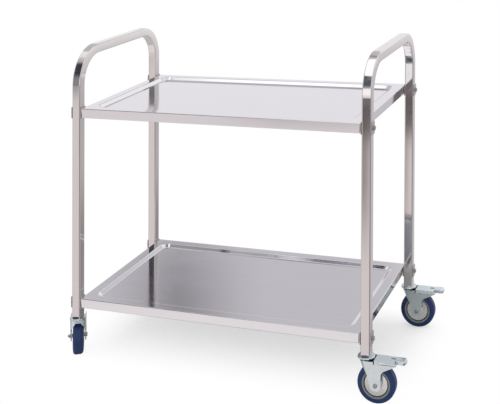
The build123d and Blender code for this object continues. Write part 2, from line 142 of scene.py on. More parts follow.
class TrolleyCaster(bpy.types.PropertyGroup):
    """Swivel casters"""
    plate: length("Plate", "Thickness of fork and cup", 0.0025)
    plate_edge: length("Plate edge", "Rounding along the fork's edges", 0.0005)
    nose_fold: length("Nose fold", "Radius of the fork's leading corners", 0.014)
    crown_fold: length("Crown fold", "Radius between crown and cheeks", 0.003)
    crown_rear: length("Crown rear", "Crown behind the swivel axis", 0.0225)
    hood: length("Hood", "Length of the leading wall", 0.011)
    hood_taper: share("Hood taper", "Length of the leading wall's sides for each unit of width", 1.9)
    ear_tip: length("Ear tip", "Height of the brake ears' ends", 0.004)
    ear_root: length("Ear root", "Brake ears' roots below the crown", 0.024)
    ear_fillet: length("Ear fillet", "Radius at the ears' roots", 0.008)
    cup_round: length("Cup round", "Radius around the cup's top", 0.002)
    cup_inside: length("Cup inside", "Radius inside the cup's top", 0.0015)
    cup_bore: length("Cup bore", "Radius of the hole for the stem", 0.0052)
    axle: length("Axle", "Radius of the axle bolt", 0.003)
    axle_head: length("Axle head", "Radius of the axle bolt's round head", 0.0055)
    axle_dome: share("Axle dome", "Rounded share of the axle bolt's head", 0.6)
    axle_hex: length("Axle hex", "Axle nut across its flats", 0.01)
    axle_pitch: length("Axle pitch", "Distance between the axle's thread crests", 0.001)
    shoulder: length("Shoulder", "Radius of the tyre's shoulders", 0.008)
    seam: length("Seam", "Depth of the line around the tyre", 0.0003)
    lip: length("Lip", "Radial width of the core's rim", 0.0045)
    web: length("Web", "Thickness of the core's web", 0.008)
    web_fillet: length("Web fillet", "Radius beside the core's web", 0.002)
    hub: length("Hub", "Radius of the core's hub", 0.015)
    cover: length("Cover", "Thickness of the hub covers", 0.0015)
    cover_boss: length("Cover boss", "Height of the cover's raised middle", 0.002)
    cover_fold: length("Cover fold", "Radius where the cover's middle rises", 0.0015)
    cover_crest: length("Cover crest", "Radius around the cover's raised middle", 0.0012)
    cover_clear: length("Cover clearance", "Gap between cover and axle sleeve", 0.002)
    fit: length("Fit", "Gap between pieces pressed together", 0.0001)
    soft: length("Soft", "Rounding of moulded and pressed rims", 0.0008)
    fine: length("Fine", "Rounding of fine edges", 0.0006)
    boss_steps: count("Boss steps", "Faces around the fork's axle bosses", 20)
    nose_steps: count("Nose steps", "Faces across the fork's leading corners", 7)
    crown_steps: count("Crown steps", "Faces across the crown's folds", 4)
    turn_steps: count("Turn steps", "Faces around a turned piece", 96)


class TrolleyBrake(bpy.types.PropertyGroup):
    """Foot brakes"""
    plate: length("Plate", "Thickness of the pedal", 0.0022)
    plate_edge: length("Plate edge", "Rounding along the pedal's edges", 0.0004)
    slot_length: length("Slot length", "Slot along the pedal", 0.015)
    slot_width: length("Slot width", "Slot across the pedal", 0.02)
    slot_margin: length("Slot margin", "Plate between slot and toe", 0.003)
    toe_length: length("Toe length", "Length of the raised toe", 0.026)
    toe_width: length("Toe width", "Width of the raised toe", 0.026)
    toe_height: length("Toe height", "Height of the raised toe", 0.009)
    toe_raise: length("Toe raise", "Toe above the pedal's plate", 0.004)
    toe_round: length("Toe round", "Radius of the toe's corners", 0.0065)
    toe_edge: length("Toe edge", "Rounding around the toe's top", 0.0036)
    lug: length("Lug", "Radius of the lugs around the pin", 0.0065)
    lug_round: share("Lug round", "Rounded share of a lug's end", 0.95)
    lug_reach: length("Lug reach", "Length of the lugs behind the pin", 0.018)
    pin: length("Pin", "Radius of the pin", 0.003)
    pin_edge: length("Pin edge", "Rounding around the pin's ends", 0.0005)
    shoe_edge: length("Shoe edge", "Rounding along the shoe's edges", 0.0006)
    slip: length("Slip", "Gap between shoe and tyre when the pedal is down", 0.0005)
    toe_steps: count("Toe steps", "Faces around each of the toe's corners", 8)
    shoe_steps: count("Shoe steps", "Faces along the shoe's curve", 10)


class TrolleyFinish(bpy.types.PropertyGroup):
    """Colours and gloss of the finishes"""
    tube: colour("Tube", "Polished tube", (0.80, 0.765, 0.755))
    sheet: colour("Sheet", "Polished sheet", (0.83, 0.82, 0.845))
    plate: colour("Plate", "Clamp plates", (0.55, 0.53, 0.53))
    bolt: colour("Bolt", "Bright bolts", (0.44, 0.42, 0.42))
    zinc: colour("Zinc", "Bright zinc plating", (0.72, 0.80, 0.825))
    tyre: colour("Tyre", "Navy elastomer", (0.021, 0.043, 0.135))
    core: colour("Core", "Moulded grey core", (0.27, 0.295, 0.285))
    cover: colour("Cover", "Pressed hub covers", (0.84, 0.83, 0.83))
    shoe: colour("Shoe", "Black brake rubber", (0.012, 0.012, 0.014))
    plug: colour("Plug", "Black nylon plugs", (0.015, 0.015, 0.016))
    tube_gloss: share("Tube roughness", "Roughness of the polished tube", 0.06)
    sheet_gloss: share("Sheet roughness", "Roughness of the polished sheet", 0.08)
    plate_gloss: share("Plate roughness", "Roughness of the clamp plates", 0.26)
    bolt_gloss: share("Bolt roughness", "Roughness of the bright bolts", 0.28)
    zinc_gloss: share("Zinc roughness", "Roughness of the zinc plating", 0.16)
    cover_gloss: share("Cover roughness", "Roughness of the hub covers", 0.24)


class TrolleyStage(bpy.types.PropertyGroup):
    """Floor, light and camera"""
    floor_length: length("Floor length", "Half length of the oval floor", 0.66)
    floor_width: length("Floor width", "Half width of the oval floor", 0.37)
    floor_steps: count("Floor steps", "Edges around the oval floor", 96)
    floor_colour: colour("Floor", "Floor colour", (0.63, 0.63, 0.63))
    floor_glow: share("Floor glow", "Light the floor adds where the eye sees it", 0.49)
    floor_sheen: share("Floor sheen", "Light the floor adds where a mirror sees it", 0.03)
    fill: share("Fill", "Level of the plain light from all round", 0.72)
    key_power: FloatProperty(name="Key", description="Overhead softbox", default=40.0, unit="POWER")
    key_size: length("Key size", "Side of the overhead softbox", 2.2)
    key_place: FloatVectorProperty(
        name="Key place", description="Softbox's place", default=(-0.4, -0.5, 3.0), subtype="TRANSLATION"
    )
    key_back: FloatVectorProperty(
        name="Key back", description="The way the softbox's back points", default=(0.15, 0.2, 1.0),
        subtype="DIRECTION",
    )
    place: FloatVectorProperty(
        name="Camera", description="Camera's place", default=(1.0837, -2.5753, 1.3208),
        subtype="TRANSLATION",
    )
    heading: angle("Heading", "Camera's turn from the trolley's cross axis", 0.3421)
    pitch: angle("Pitch", "Camera's tilt above the level", -0.0124)
    roll: angle("Roll", "Camera's roll", -0.0375)
    rise: share("Rise", "Film's rise, as a share of its distance", -0.3209)
    swing: share("Swing", "Film's swing, as a share of its distance", -0.0505)
    skew: share("Skew", "Slant of the picture's upright edge", 0.0422)
    lens: FloatProperty(name="Lens", description="Focal length", default=75.79, unit="CAMERA")
    film: FloatProperty(name="Film", description="Width of the film", default=36.0, unit="CAMERA")


# Shader nodes

def plug(tree, value, socket):
    """Link a socket to another one, or set it to a plain value."""
    if isinstance(value, bpy.types.NodeSocket):
        tree.links.new(value, socket)
    else:
        socket.default_value = value


def add_node(tree, kind, *values, **settings):
    """A shader node with its settings, and its first inputs fed in order."""
    node = tree.nodes.new(f"ShaderNode{kind}")
    for name, setting in settings.items():
        setattr(node, name, setting)
    for socket, value in zip(node.inputs, values):
        plug(tree, value, socket)
    return node


def work_out(tree, operation, *values):
    """A math node on value sockets or numbers; its result socket."""
    return add_node(tree, "Math", *values, operation=operation).outputs["Value"]


def remap(tree, value, low, high, to_low, to_high, smooth=False):
    """A value moved from one range to another; its socket."""
    way = "SMOOTHSTEP" if smooth else "LINEAR"
    spread = add_node(tree, "MapRange", value, low, high, to_low, to_high, interpolation_type=way)
    return spread.outputs["Result"]


def mix_colours(tree, mask, first, second):
    """Two colours, or colour sockets, mixed by a mask; the colour socket."""
    mix = add_node(tree, "Mix", mask, data_type="RGBA")
    plug(tree, first, mix.inputs[6])
    plug(tree, second, mix.inputs[7])
    return mix.outputs[2]


def noise(tree, vector, scale, detail, roughness):
    """A noise texture on a vector; its value socket."""
    texture = add_node(tree, "TexNoise", vector)
    plug(tree, scale, texture.inputs["Scale"])
    texture.inputs["Detail"].default_value = detail
    texture.inputs["Roughness"].default_value = roughness
    return texture.outputs["Fac"]


def mirrored_rays(tree):
    """1 for rays from mirrors or through glass, and 0 for the rest."""
    rays = add_node(tree, "LightPath").outputs
    return work_out(tree, "MAXIMUM", rays["Is Glossy Ray"], rays["Is Transmission Ray"])


# Shared shader groups

def new_group(name, inputs, output):
    """A shader node group on a vector, with value inputs and one value output."""
    tree = bpy.data.node_groups.new(name, "ShaderNodeTree")
    tree.interface.new_socket("Vector", in_out="INPUT", socket_type="NodeSocketVector")
    for socket, default in inputs.items():
        made = tree.interface.new_socket(socket, in_out="INPUT", socket_type="NodeSocketFloat")
        made.default_value = default
    tree.interface.new_socket(output, in_out="OUTPUT", socket_type="NodeSocketFloat")
    return tree, tree.nodes.new("NodeGroupInput").outputs, tree.nodes.new("NodeGroupOutput").inputs[0]


def polish_lines():
    """Fine lines that polishing leaves, drawn out along the third axis of the vector."""
    tree, entry, leave = new_group("polish lines", {"Along": 12.0, "Across": 1500.0}, "Lines")
    scale = add_node(tree, "CombineXYZ", entry["Across"], entry["Across"], entry["Along"])
    stretch = add_node(
        tree, "VectorMath", entry["Vector"], scale.outputs["Vector"], operation="MULTIPLY"
    )
    grain = noise(tree, stretch.outputs["Vector"], scale=1.0, detail=3.0, roughness=0.6)
    tree.links.new(remap(tree, grain, 0.3, 0.7, 0.0, 1.0), leave)
    return tree


def handling_marks():
    """Cloudy wipe marks and fingerprints of use."""
    tree, entry, leave = new_group("handling marks", {"Scale": 9.0}, "Marks")
    clouds = noise(tree, entry["Vector"], entry["Scale"], detail=6.0, roughness=0.62)
    tree.links.new(remap(tree, clouds, 0.42, 0.72, 0.0, 1.0, True), leave)
    return tree


def sheet_waves():
    """Slow unevenness of thin sheet, as a height in metres."""
    tree, entry, leave = new_group("sheet waves", {"Scale": 5.0, "Depth": 0.0002}, "Height")
    waves = noise(tree, entry["Vector"], entry["Scale"], detail=1.0, roughness=0.5)
    tree.links.new(work_out(tree, "MULTIPLY", waves, entry["Depth"]), leave)
    return tree


# Materials

LINE_TINT = 0.94  # polish lines' colour, as a share of the steel's
LINE_GLOSS = 0.8  # roughness as shares of the steel's: in polish lines, between them, and what smears add
GROUND_GLOSS = 1.25
SMEAR_GLOSS = 0.5


class Finish:
    """One material's node tree, with short ways to add to it."""

    def __init__(self, name):
        self.material = bpy.data.materials.new(name)
        self.material.use_nodes = True
        self.tree = self.material.node_tree
        self.shader = self.tree.nodes["Principled BSDF"]
        self.place = add_node(self.tree, "TexCoord").outputs["Object"]

    def set(self, **values):
        """Set the shader's own sockets, named in lower case with underscores."""
        for name, value in values.items():
            socket = self.shader.inputs[name.replace("_", " ").title().replace("Ior", "IOR")]
            socket.default_value = (*value, 1) if hasattr(value, "__len__") else value

    def group(self, make, vector=None, **values):
        """Place a shared group, made the first time; its output socket."""
        node = self.tree.nodes.new("ShaderNodeGroup")
        node.node_tree = bpy.data.node_groups.get(make.__name__.replace("_", " ")) or make()
        self.tree.links.new(vector or self.place, node.inputs["Vector"])
        for name, value in values.items():
            node.inputs[name.title()].default_value = value
        return node.outputs[0]

    def feed(self, socket, name):
        """Link a socket to the shader."""
        self.tree.links.new(socket, self.shader.inputs[name])

    def tint(self, mask, first, second):
        """Feed two colours mixed by a mask to the shader."""
        self.feed(mix_colours(self.tree, mask, (*first, 1), (*second, 1)), "Base Color")

    def bump(self, height, strength):
        """Feed a height in metres to the shader's normal."""
        node = add_node(self.tree, "Bump")
        node.inputs["Strength"].default_value = strength
        node.inputs["Distance"].default_value = 1.0
        self.tree.links.new(height, node.inputs["Height"])
        self.feed(node.outputs["Normal"], "Normal")

    def polish(self, tint, gloss, along, across, marks, vector=None):
        """Polished stainless steel, with its lines and wipe marks for each metre."""
        lines = self.group(polish_lines, vector, along=along, across=across)
        clouds = self.group(handling_marks, scale=marks)
        self.set(metallic=1.0)
        self.tint(lines, toned(tint, LINE_TINT), tint)
        grained = remap(self.tree, lines, 0.0, 1.0, gloss * LINE_GLOSS, gloss * GROUND_GLOSS)
        smeared = remap(self.tree, clouds, 0.0, 1.0, 0.0, gloss * SMEAR_GLOSS)
        self.feed(work_out(self.tree, "ADD", grained, smeared), "Roughness")

    def waves(self, scale, depth):
        """The unevenness of thin metal."""
        self.bump(self.group(sheet_waves, scale=scale, depth=depth), 1.0)

    def mottle(self, tint, change, scale, low, high):
        """Marks that change a colour and a roughness a little; the marks' socket."""
        marks = self.group(handling_marks, scale=scale)
        self.tint(marks, tint, toned(tint, change))
        self.feed(remap(self.tree, marks, 0.0, 1.0, low, high), "Roughness")
        return marks

    def pitted(self, specks, depth, strength):
        """A fine moulded grain, to a depth in metres."""
        self.bump(remap(self.tree, specks, 0.0, 1.0, 0.0, depth), strength)

    def along_tube(self):
        """Distance around and along the bent tube, as a vector."""
        joined = add_node(self.tree, "CombineXYZ")
        for axis, layer in (("X", "around"), ("Z", "along")):
            stored = add_node(self.tree, "Attribute", attribute_name=layer)
            self.tree.links.new(stored.outputs["Fac"], joined.inputs[axis])
        return joined.outputs["Vector"]

    def along_length(self):
        """Place on the trolley with its long axis third."""
        x, y, z = add_node(self.tree, "SeparateXYZ", self.place).outputs
        return add_node(self.tree, "CombineXYZ", y, z, x).outputs["Vector"]


def toned(tint, factor):
    """A colour with each channel times a factor."""
    return [channel * factor for channel in tint]


def polished_tube(look):
    """Mirror-polished square tube, with lines along its length."""
    finish = Finish("polished tube")
    lie = finish.along_tube()
    finish.polish(look.tube, look.tube_gloss, along=9.0, across=2600.0, marks=14.0, vector=lie)
    finish.waves(scale=16.0, depth=0.00003)
    return finish.material


def polished_sheet(look):
    """Mirror-polished sheet that waves a little."""
    finish = Finish("polished sheet")
    lie = finish.along_length()
    finish.polish(look.sheet, look.sheet_gloss, along=5.0, across=1600.0, marks=7.0, vector=lie)
    finish.waves(scale=4.0, depth=0.00025)
    return finish.material


def clamp_plate(look):
    """Plain stainless plate with a satin grain."""
    finish = Finish("clamp plate")
    finish.polish(look.plate, look.plate_gloss, along=60.0, across=1800.0, marks=40.0)
    return finish.material


def bright_bolt(look):
    """Turned and forged bright steel."""
    finish = Finish("bright bolt")
    finish.polish(look.bolt, look.bolt_gloss, along=900.0, across=900.0, marks=90.0)
    return finish.material


def pressed_disc(look):
    """Bright pressed hub covers."""
    finish = Finish("pressed disc")
    finish.polish(look.cover, look.cover_gloss, along=500.0, across=500.0, marks=70.0)
    return finish.material


def bright_zinc(look):
    """Blue-white zinc plating with a faint mottle."""
    finish = Finish("bright zinc")
    finish.set(metallic=1.0)
    gloss = look.zinc_gloss
    finish.mottle(look.zinc, change=0.93, scale=60.0, low=gloss * 0.9, high=gloss * 1.15)
    return finish.material


def navy_rubber(look):
    """Smooth navy elastomer, a little dulled where it has rolled."""
    finish = Finish("navy rubber")
    finish.set(specular_ior_level=0.25)
    finish.mottle(look.tyre, change=1.2, scale=45.0, low=0.34, high=0.5)
    specks = finish.group(handling_marks, scale=420.0)
    finish.pitted(specks, depth=0.00006, strength=0.6)
    return finish.material


def grey_moulding(look):
    """Moulded grey nylon of the wheel cores."""
    finish = Finish("grey moulding")
    specks = finish.mottle(look.core, change=0.8, scale=300.0, low=0.4, high=0.55)
    finish.pitted(specks, depth=0.00008, strength=0.5)
    return finish.material


def brake_rubber(look):
    """Black rubber of the brake shoes."""
    finish = Finish("brake rubber")
    specks = finish.mottle(look.shoe, change=2.0, scale=260.0, low=0.6, high=0.8)
    finish.pitted(specks, depth=0.0001, strength=0.6)
    return finish.material


def nylon_plug(look):
    """Black nylon of the plugs in the legs."""
    finish = Finish("nylon plug")
    finish.mottle(look.plug, change=1.8, scale=200.0, low=0.45, high=0.6)
    return finish.material


FINISHES = {
    "tube_steel": polished_tube,
    "tray_steel": polished_sheet,
    "clamp_steel": clamp_plate,
    "bolt_steel": bright_bolt,
    "zinc_steel": bright_zinc,
    "insert_plastic": nylon_plug,
    "tyre_rubber": navy_rubber,
    "core_plastic": grey_moulding,
    "cover_steel": pressed_disc,
    "shoe_rubber": brake_rubber,
}


def finish_for(slot):
    """The material of a slot of the record, made once."""
    make = FINISHES[slot]
    name = make.__name__.replace("_", " ")
    return bpy.data.materials.get(name) or make(bpy.context.scene.trolley_finish)


# Mesh helpers

CLOSE = 1e-6  # metres between places that count as one
SHARP = radians(40)  # edges that fold more look sharp
SLIGHT_FOLD = radians(20)  # a tray's slope folds by more than this, and by less than a steep fold
STEEP_FOLD = radians(60)  # edges that fold more count as square
ROUND_STEPS = 5  # faces across a small rounding
EDGE_STEPS = 2  # faces across a softened edge
EAR_STEPS = 6  # faces across a rounded ear or lug
BOLT_STEPS = 24  # faces around a shank
PIN_STEPS = 32  # faces around a brake pin
HEAD_STEPS = 40  # faces around a washer or a round head
THREAD_DEPTH = 0.45  # shares of the pitch: depth, and where a groove and a crest lie
THREAD_GROOVE = 0.5
THREAD_CREST = 0.95
NUT_FIT = 1.03  # a nut's bore for each unit of its bolt
CHEEK = 0.5  # a normal's share across the fork, from which a face is part of a cheek
CURL_START = 0.995  # the same share, where the leading corners begin to curl out of the cheeks
CURL_END = 0.92  # the same share, where the part of the curl that stays gives way to the wall
CROWN_TILT = 0.1  # a normal's share upwards, from which a face is part of the crown


def add_piece(name, bm, body, slot, nodes, sheet=0.0, edge=0.0):
    """Make an object from a mesh, give it a wall and soft edges, and put it in place of its nodes."""
    mesh = bpy.data.meshes.new(name)
    bm.to_mesh(mesh)
    bm.free()
    mesh.materials.append(finish_for(slot))
    mesh.shade_smooth()
    piece = bpy.data.objects.new(name, mesh)
    bpy.context.scene.collection.objects.link(piece)
    if sheet:
        wall = piece.modifiers.new("sheet", "SOLIDIFY")
        wall.thickness = sheet
        wall.offset = -1.0
        wall.use_even_offset = True
    if edge:
        soft = piece.modifiers.new("edges", "BEVEL")
        soft.width = edge
        soft.segments = EDGE_STEPS
        soft.limit_method = "ANGLE"
        soft.angle_limit = SHARP
    else:
        mesh.set_sharp_from_angle(angle=SHARP)
    flat = piece.modifiers.new("shading", "WEIGHTED_NORMAL")
    flat.keep_sharp = True
    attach(piece, body)
    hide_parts(*nodes)


def add_caster_piece(corner, name, bm, body, slot, node, **wall):
    """Add one caster's piece, on a body of that caster."""
    add_piece(f"{corner}_{name}", bm, f"{body}_{corner}", slot, [f"{corner}_{node}"], **wall)


def only(kind, items):
    """The vertices, edges or faces among some items of a mesh."""
    return [item for item in items if isinstance(item, kind)]


def round_off(bm, geom, radius, steps=ROUND_STEPS, affect="EDGES"):
    """Bevel edges, or corners of flat faces, into round ones."""
    bmesh.ops.bevel(bm, geom=geom, offset=radius, segments=steps, profile=0.5, affect=affect, material=-1)


def square_edges(edges):
    """The edges whose faces stand steeply to each other."""
    return [edge for edge in edges if edge.calc_face_angle(0) > STEEP_FOLD]


def faces_out(bm):
    """Turn the faces of a mesh outwards, all to one side."""
    bmesh.ops.recalc_face_normals(bm, faces=bm.faces)


def faces_up(bm, way=1):
    """Turn the faces to one side, with the largest one up, or down where the way is -1."""
    faces_out(bm)
    largest = max(bm.faces, key=lambda face: face.calc_area())
    if largest.normal.z * way < 0:
        bmesh.ops.reverse_faces(bm, faces=bm.faces)


def flat_plate(bm, low, high, z):
    """A level face between two corners in plan; its corners."""
    middle = ((low[0] + high[0]) / 2, (low[1] + high[1]) / 2, z)
    half = ((high[0] - low[0]) / 2, (high[1] - low[1]) / 2, 1)
    made = bmesh.ops.create_grid(bm, x_segments=1, y_segments=1, size=1,
                                 matrix=Matrix.LocRotScale(Vector(middle), None, Vector(half)))
    return made["verts"]


def draw_out(bm, edges, move):
    """Extrude edges and move them; the new edges."""
    made = bmesh.ops.extrude_edge_only(bm, edges=edges)["geom"]
    bmesh.ops.translate(bm, verts=only(BMVert, made), vec=move)
    return [edge for edge in only(BMEdge, made) if all(vert in made for vert in edge.verts)]


def thicken(bm, faces, move):
    """Extrude faces and move them; the moved faces."""
    around = {item for face in faces for item in (*face.edges, *face.verts)}
    made = bmesh.ops.extrude_face_region(bm, geom=[*faces, *around])["geom"]
    bmesh.ops.translate(bm, verts=only(BMVert, made), vec=move)
    return only(BMFace, made)


def outline_chain(bm, points):
    """Straight edges through a few points; the vertices."""
    verts = [bm.verts.new(point) for point in points]
    for first, second in zip(verts, verts[1:]):
        bm.edges.new((first, second))
    return verts


def sweep_arc(bm, first, centre, turn, steps):
    """Sweep a vertex around a centre, about the Y axis; the last vertex."""
    made = bmesh.ops.spin(bm, geom=[first], cent=centre, axis=(0, 1, 0), angle=turn, steps=steps)
    return only(BMVert, made["geom_last"])[0]


def turned(bm, outline, steps, matrix):
    """Spin an outline of (radius, along, rounding) corners about the matrix's Z axis."""
    part = bmesh.new()
    face = part.faces.new([part.verts.new((radius, 0, along)) for radius, along, _ in outline])
    corners = [(vert, rounding) for vert, (_, _, rounding) in zip(face.verts, outline) if rounding]
    for vert, rounding in corners:
        round_off(part, [vert], rounding, affect="VERTICES")
    bmesh.ops.delete(part, geom=part.faces[:], context="FACES_ONLY")
    on_axis = [edge for edge in part.edges if all(abs(vert.co.x) < CLOSE for vert in edge.verts)]
    bmesh.ops.delete(part, geom=on_axis, context="EDGES")
    bmesh.ops.spin(part, geom=part.verts[:] + part.edges[:], cent=(0, 0, 0), axis=(0, 0, 1), angle=tau,
                   steps=steps, use_merge=True)
    bmesh.ops.remove_doubles(part, verts=part.verts, dist=CLOSE)
    faces_out(part)
    join(bm, part, matrix)


def other_side(outline):
    """The mirror image of an outline, in the order that carries it on."""
    return [(radius, -along, rounding) for radius, along, rounding in reversed(outline)]


def join(bm, part, matrix=None):
    """Move a mesh into another one, through a matrix."""
    if matrix is not None:
        bmesh.ops.transform(part, matrix=matrix, verts=part.verts)
    held = bpy.data.meshes.new("held")
    part.to_mesh(held)
    part.free()
    bm.from_mesh(held)
    bpy.data.meshes.remove(held)


def hex_prism(bm, flats, height, chamfer, matrix, bore=0.0):
    """A bolt head or a nut on the matrix's XY plane."""
    part = bmesh.new()
    outer = flats / sqrt(3)
    bmesh.ops.create_circle(part, segments=6, radius=outer, cap_ends=not bore)
    if bore:
        bmesh.ops.create_circle(part, segments=BOLT_STEPS, radius=bore)
        bmesh.ops.bridge_loops(part, edges=part.edges[:])
    faces_out(part)
    top = thicken(part, part.faces[:], (0, 0, height))
    faces_out(part)
    rim = square_edges({edge for face in top for edge in face.edges})
    wide = (bore + outer) / 2
    crown = [edge for edge in rim if all(vert.co.xy.length > wide for vert in edge.verts)]
    round_off(part, crown, chamfer, EDGE_STEPS)
    join(bm, part, matrix)


def threaded(bm, radius, plain, thread, pitch, matrix):
    """A bolt's shank along the matrix's Z axis: a plain length, then threads and a chamfered end."""
    root = radius - pitch * THREAD_DEPTH
    outline = [(0, 0, 0), (radius, 0, 0), (radius, plain, 0)]
    for turn in range(int(thread / pitch)):
        start = plain + turn * pitch
        outline += [(root, start + pitch * THREAD_GROOVE, 0), (radius, start + pitch * THREAD_CREST, 0)]
    outline += [(root, plain + thread, 0), (0, plain + thread, 0)]
    turned(bm, outline, BOLT_STEPS, matrix)


def facing(direction, place):
    """A matrix at a place whose Z axis points along a direction."""
    return Matrix.Translation(place) @ Vector(direction).to_track_quat("Z", "Y").to_matrix().to_4x4()


# Frame places

def swivel_foot(corner):
    """The point on the floor under a caster's swivel axis, which is also its leg's middle in plan."""
    x, y, _ = JOINTS[f"{corner}_swivel"]["pos_m"]
    return Vector((x, y, 0))


def caster_matrix(corner):
    """A caster's own axes: X the way the wheel trails, Y along the axle, Z up."""
    foot = swivel_foot(corner)
    axle = Vector(JOINTS[f"{corner}_roll"]["pos_m"])
    trail = Vector((axle.x - foot.x, axle.y - foot.y, 0)).normalized()
    up = Vector((0, 0, 1))
    axes = Matrix((trail, up.cross(trail), up)).transposed().to_4x4()
    return Matrix.Translation(foot) @ axes


def square_point(joint):
    """A joint's place in its caster's own axes: roll for the axle, brake for the pedal's pin."""
    return Vector(JOINTS[f"{SQUARE_CORNER}_{joint}"]["pos_m"]) - swivel_foot(SQUARE_CORNER)


def cross_matrix(corner, joint):
    """A matrix at a joint across a caster, with Z along the joint's axis."""
    return caster_matrix(corner) @ facing((0, 1, 0), square_point(joint))


def square_box(piece):
    """Box of a caster piece in the caster's own axes."""
    low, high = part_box(f"{SQUARE_CORNER}_{piece}")
    foot = swivel_foot(SQUARE_CORNER)
    return low - foot, high - foot


def radius_of(piece):
    """Radius of a round piece on a caster's axle."""
    low, high = square_box(piece)
    return (high.z - low.z) / 2


# Pieces

def end_frame(side):
    """A front leg, handle and rear leg bent from one square tube."""
    tube = bpy.context.scene.trolley_tube
    node = f"{side}_end_frame"
    low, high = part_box(node)
    width = high.x - low.x
    bm = bmesh.new()
    corners = flat_plate(bm, low, (high.x, low.y + width), low.z)
    round_off(bm, corners, tube.corner, tube.corner_steps, "VERTICES")
    along = bm.verts.layers.float.new("along")
    around = bm.verts.layers.float.new("around")
    walk = 0.0
    ring = [loop.vert for loop in bm.faces[:][0].loops]
    for vert, following in zip(ring, ring[1:] + ring[:1]):
        vert[around] = walk
        walk += (following.co - vert.co).length
    faces_out(bm)
    end = bm.faces[:]
    reached = 0.0
    step = radians(90) / tube.bend_steps
    turn = Matrix.Rotation(-step, 3, "X")

    def carry_on(move, distance, centre=None):
        """Draw the tube's end out, straight on or by one step around a centre."""
        nonlocal end, reached
        end = thicken(bm, end, move)
        reached += distance
        moved = list({vert for face in end for vert in face.verts})
        if centre:
            bmesh.ops.rotate(bm, verts=moved, cent=centre, matrix=turn)
        for vert in moved:
            vert[along] = reached

    upright = high.z - tube.bend - low.z
    level = high.y - low.y - 2 * tube.bend
    middle = (low.x + high.x) / 2
    runs = (((0, 0, upright), low.y + tube.bend), ((0, level, 0), high.y - tube.bend))
    for move, bend_y in runs:
        carry_on(move, Vector(move).length)
        for _ in range(tube.bend_steps):
            carry_on((0, 0, 0), (tube.bend - width / 2) * step, (middle, bend_y, high.z - tube.bend))
    carry_on((0, 0, -upright), upright)
    faces_out(bm)
    add_piece(f"{side}_end_tube", bm, "frame", "tube_steel", [node])


def tray(level):
    """A tray with a pressed pan, folded aprons and hemmed lower edges."""
    sizes = bpy.context.scene.trolley_tray
    node = f"{level}_tray"
    low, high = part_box(node)
    rim = Vector((sizes.rim, sizes.rim, 0))
    bm = bmesh.new()
    corners = flat_plate(bm, low + rim, high - rim, high.z)
    round_off(bm, corners, sizes.pan_corner, sizes.corner_steps, "VERTICES")
    faces_up(bm)
    bmesh.ops.inset_region(bm, faces=bm.faces[:], thickness=sizes.step, depth=-sizes.recess,
                           use_even_offset=True, use_boundary=True)
    pan_edge = [edge for edge in bm.edges if edge.is_boundary]
    sheet_corners = flat_plate(bm, low, high, high.z)
    sheet_edge = list({edge for vert in sheet_corners for edge in vert.link_edges})
    bmesh.ops.delete(bm, geom=sheet_corners[0].link_faces[:], context="FACES_ONLY")
    bmesh.ops.triangle_fill(bm, edges=pan_edge + sheet_edge, use_beauty=True)
    middle = (low + high) / 2
    foot = draw_out(bm, sheet_edge, (0, 0, low.z - high.z))
    lean_in(foot, middle, sizes.apron_lean)
    lean_in(draw_out(bm, foot, (0, 0, 0)), middle, sizes.hem)
    faces_up(bm)
    slope_edges = [edge for edge in bm.edges if SLIGHT_FOLD < edge.calc_face_angle(0) < STEEP_FOLD]
    round_off(bm, slope_edges, sizes.step_fold, sizes.fold_steps)
    round_off(bm, square_edges(bm.edges), sizes.apron_fold, sizes.fold_steps)
    add_piece(f"{level}_tray_pan", bm, "frame", "tray_steel", [node], sheet=sizes.sheet)


def lean_in(edges, middle, amount):
    """Move a tray's edge loop towards its middle by the same amount on all sides."""
    for vert in {vert for edge in edges for vert in edge.verts}:
        vert.co.x -= amount if vert.co.x > middle.x else -amount
        vert.co.y -= amount if vert.co.y > middle.y else -amount


def tray_rib(level):
    """The hat-section stiffener under a tray's pan."""
    sizes = bpy.context.scene.trolley_tray
    node = f"{level}_tray_rib"
    low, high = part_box(node)
    flange = high.z - sizes.sheet
    half = sizes.rib_width / 2
    section = [(low.y, flange), (-half, flange), (-half, low.z),
               (half, low.z), (half, flange), (high.y, flange)]
    bm = bmesh.new()
    outline_chain(bm, [(low.x, y, z) for y, z in section])
    draw_out(bm, bm.edges[:], (high.x - low.x, 0, 0))
    faces_up(bm, -1)
    round_off(bm, [edge for edge in bm.edges if edge.is_manifold], sizes.apron_fold, sizes.fold_steps)
    add_piece(f"{level}_hat_rib", bm, "frame", "tray_steel", [node], sheet=sizes.sheet, edge=sizes.rib_edge)


def clamp_plates(level):
    """Pairs of plates that clamp a tray's ends to the legs, one on each side of each leg."""
    sizes = bpy.context.scene.trolley_clamp
    node = f"{level}_clamp_plates"
    low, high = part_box(node)
    tube_low, tube_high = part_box("left_end_frame")
    half = (tube_high.x - tube_low.x) / 2
    middle = (low.z + high.z) / 2
    bm = bmesh.new()
    for corner in CORNERS:
        x, y, _ = swivel_foot(corner)
        for way in (-1, 1):
            part = bmesh.new()
            corners = flat_plate(part, (low.z - middle, -half), (high.z - middle, half), 0)
            round_off(part, corners, sizes.corner, affect="VERTICES")
            thicken(part, part.faces[:], (0, 0, sizes.plate))
            faces_out(part)
            round_off(part, square_edges(part.edges), sizes.edge, EDGE_STEPS)
            stand = Matrix.Rotation(way * radians(90), 4, "Y")
            join(bm, part, Matrix.Translation((x + way * half, y, middle)) @ stand)
    add_piece(f"{level}_leg_plates", bm, "frame", "clamp_steel", [node])


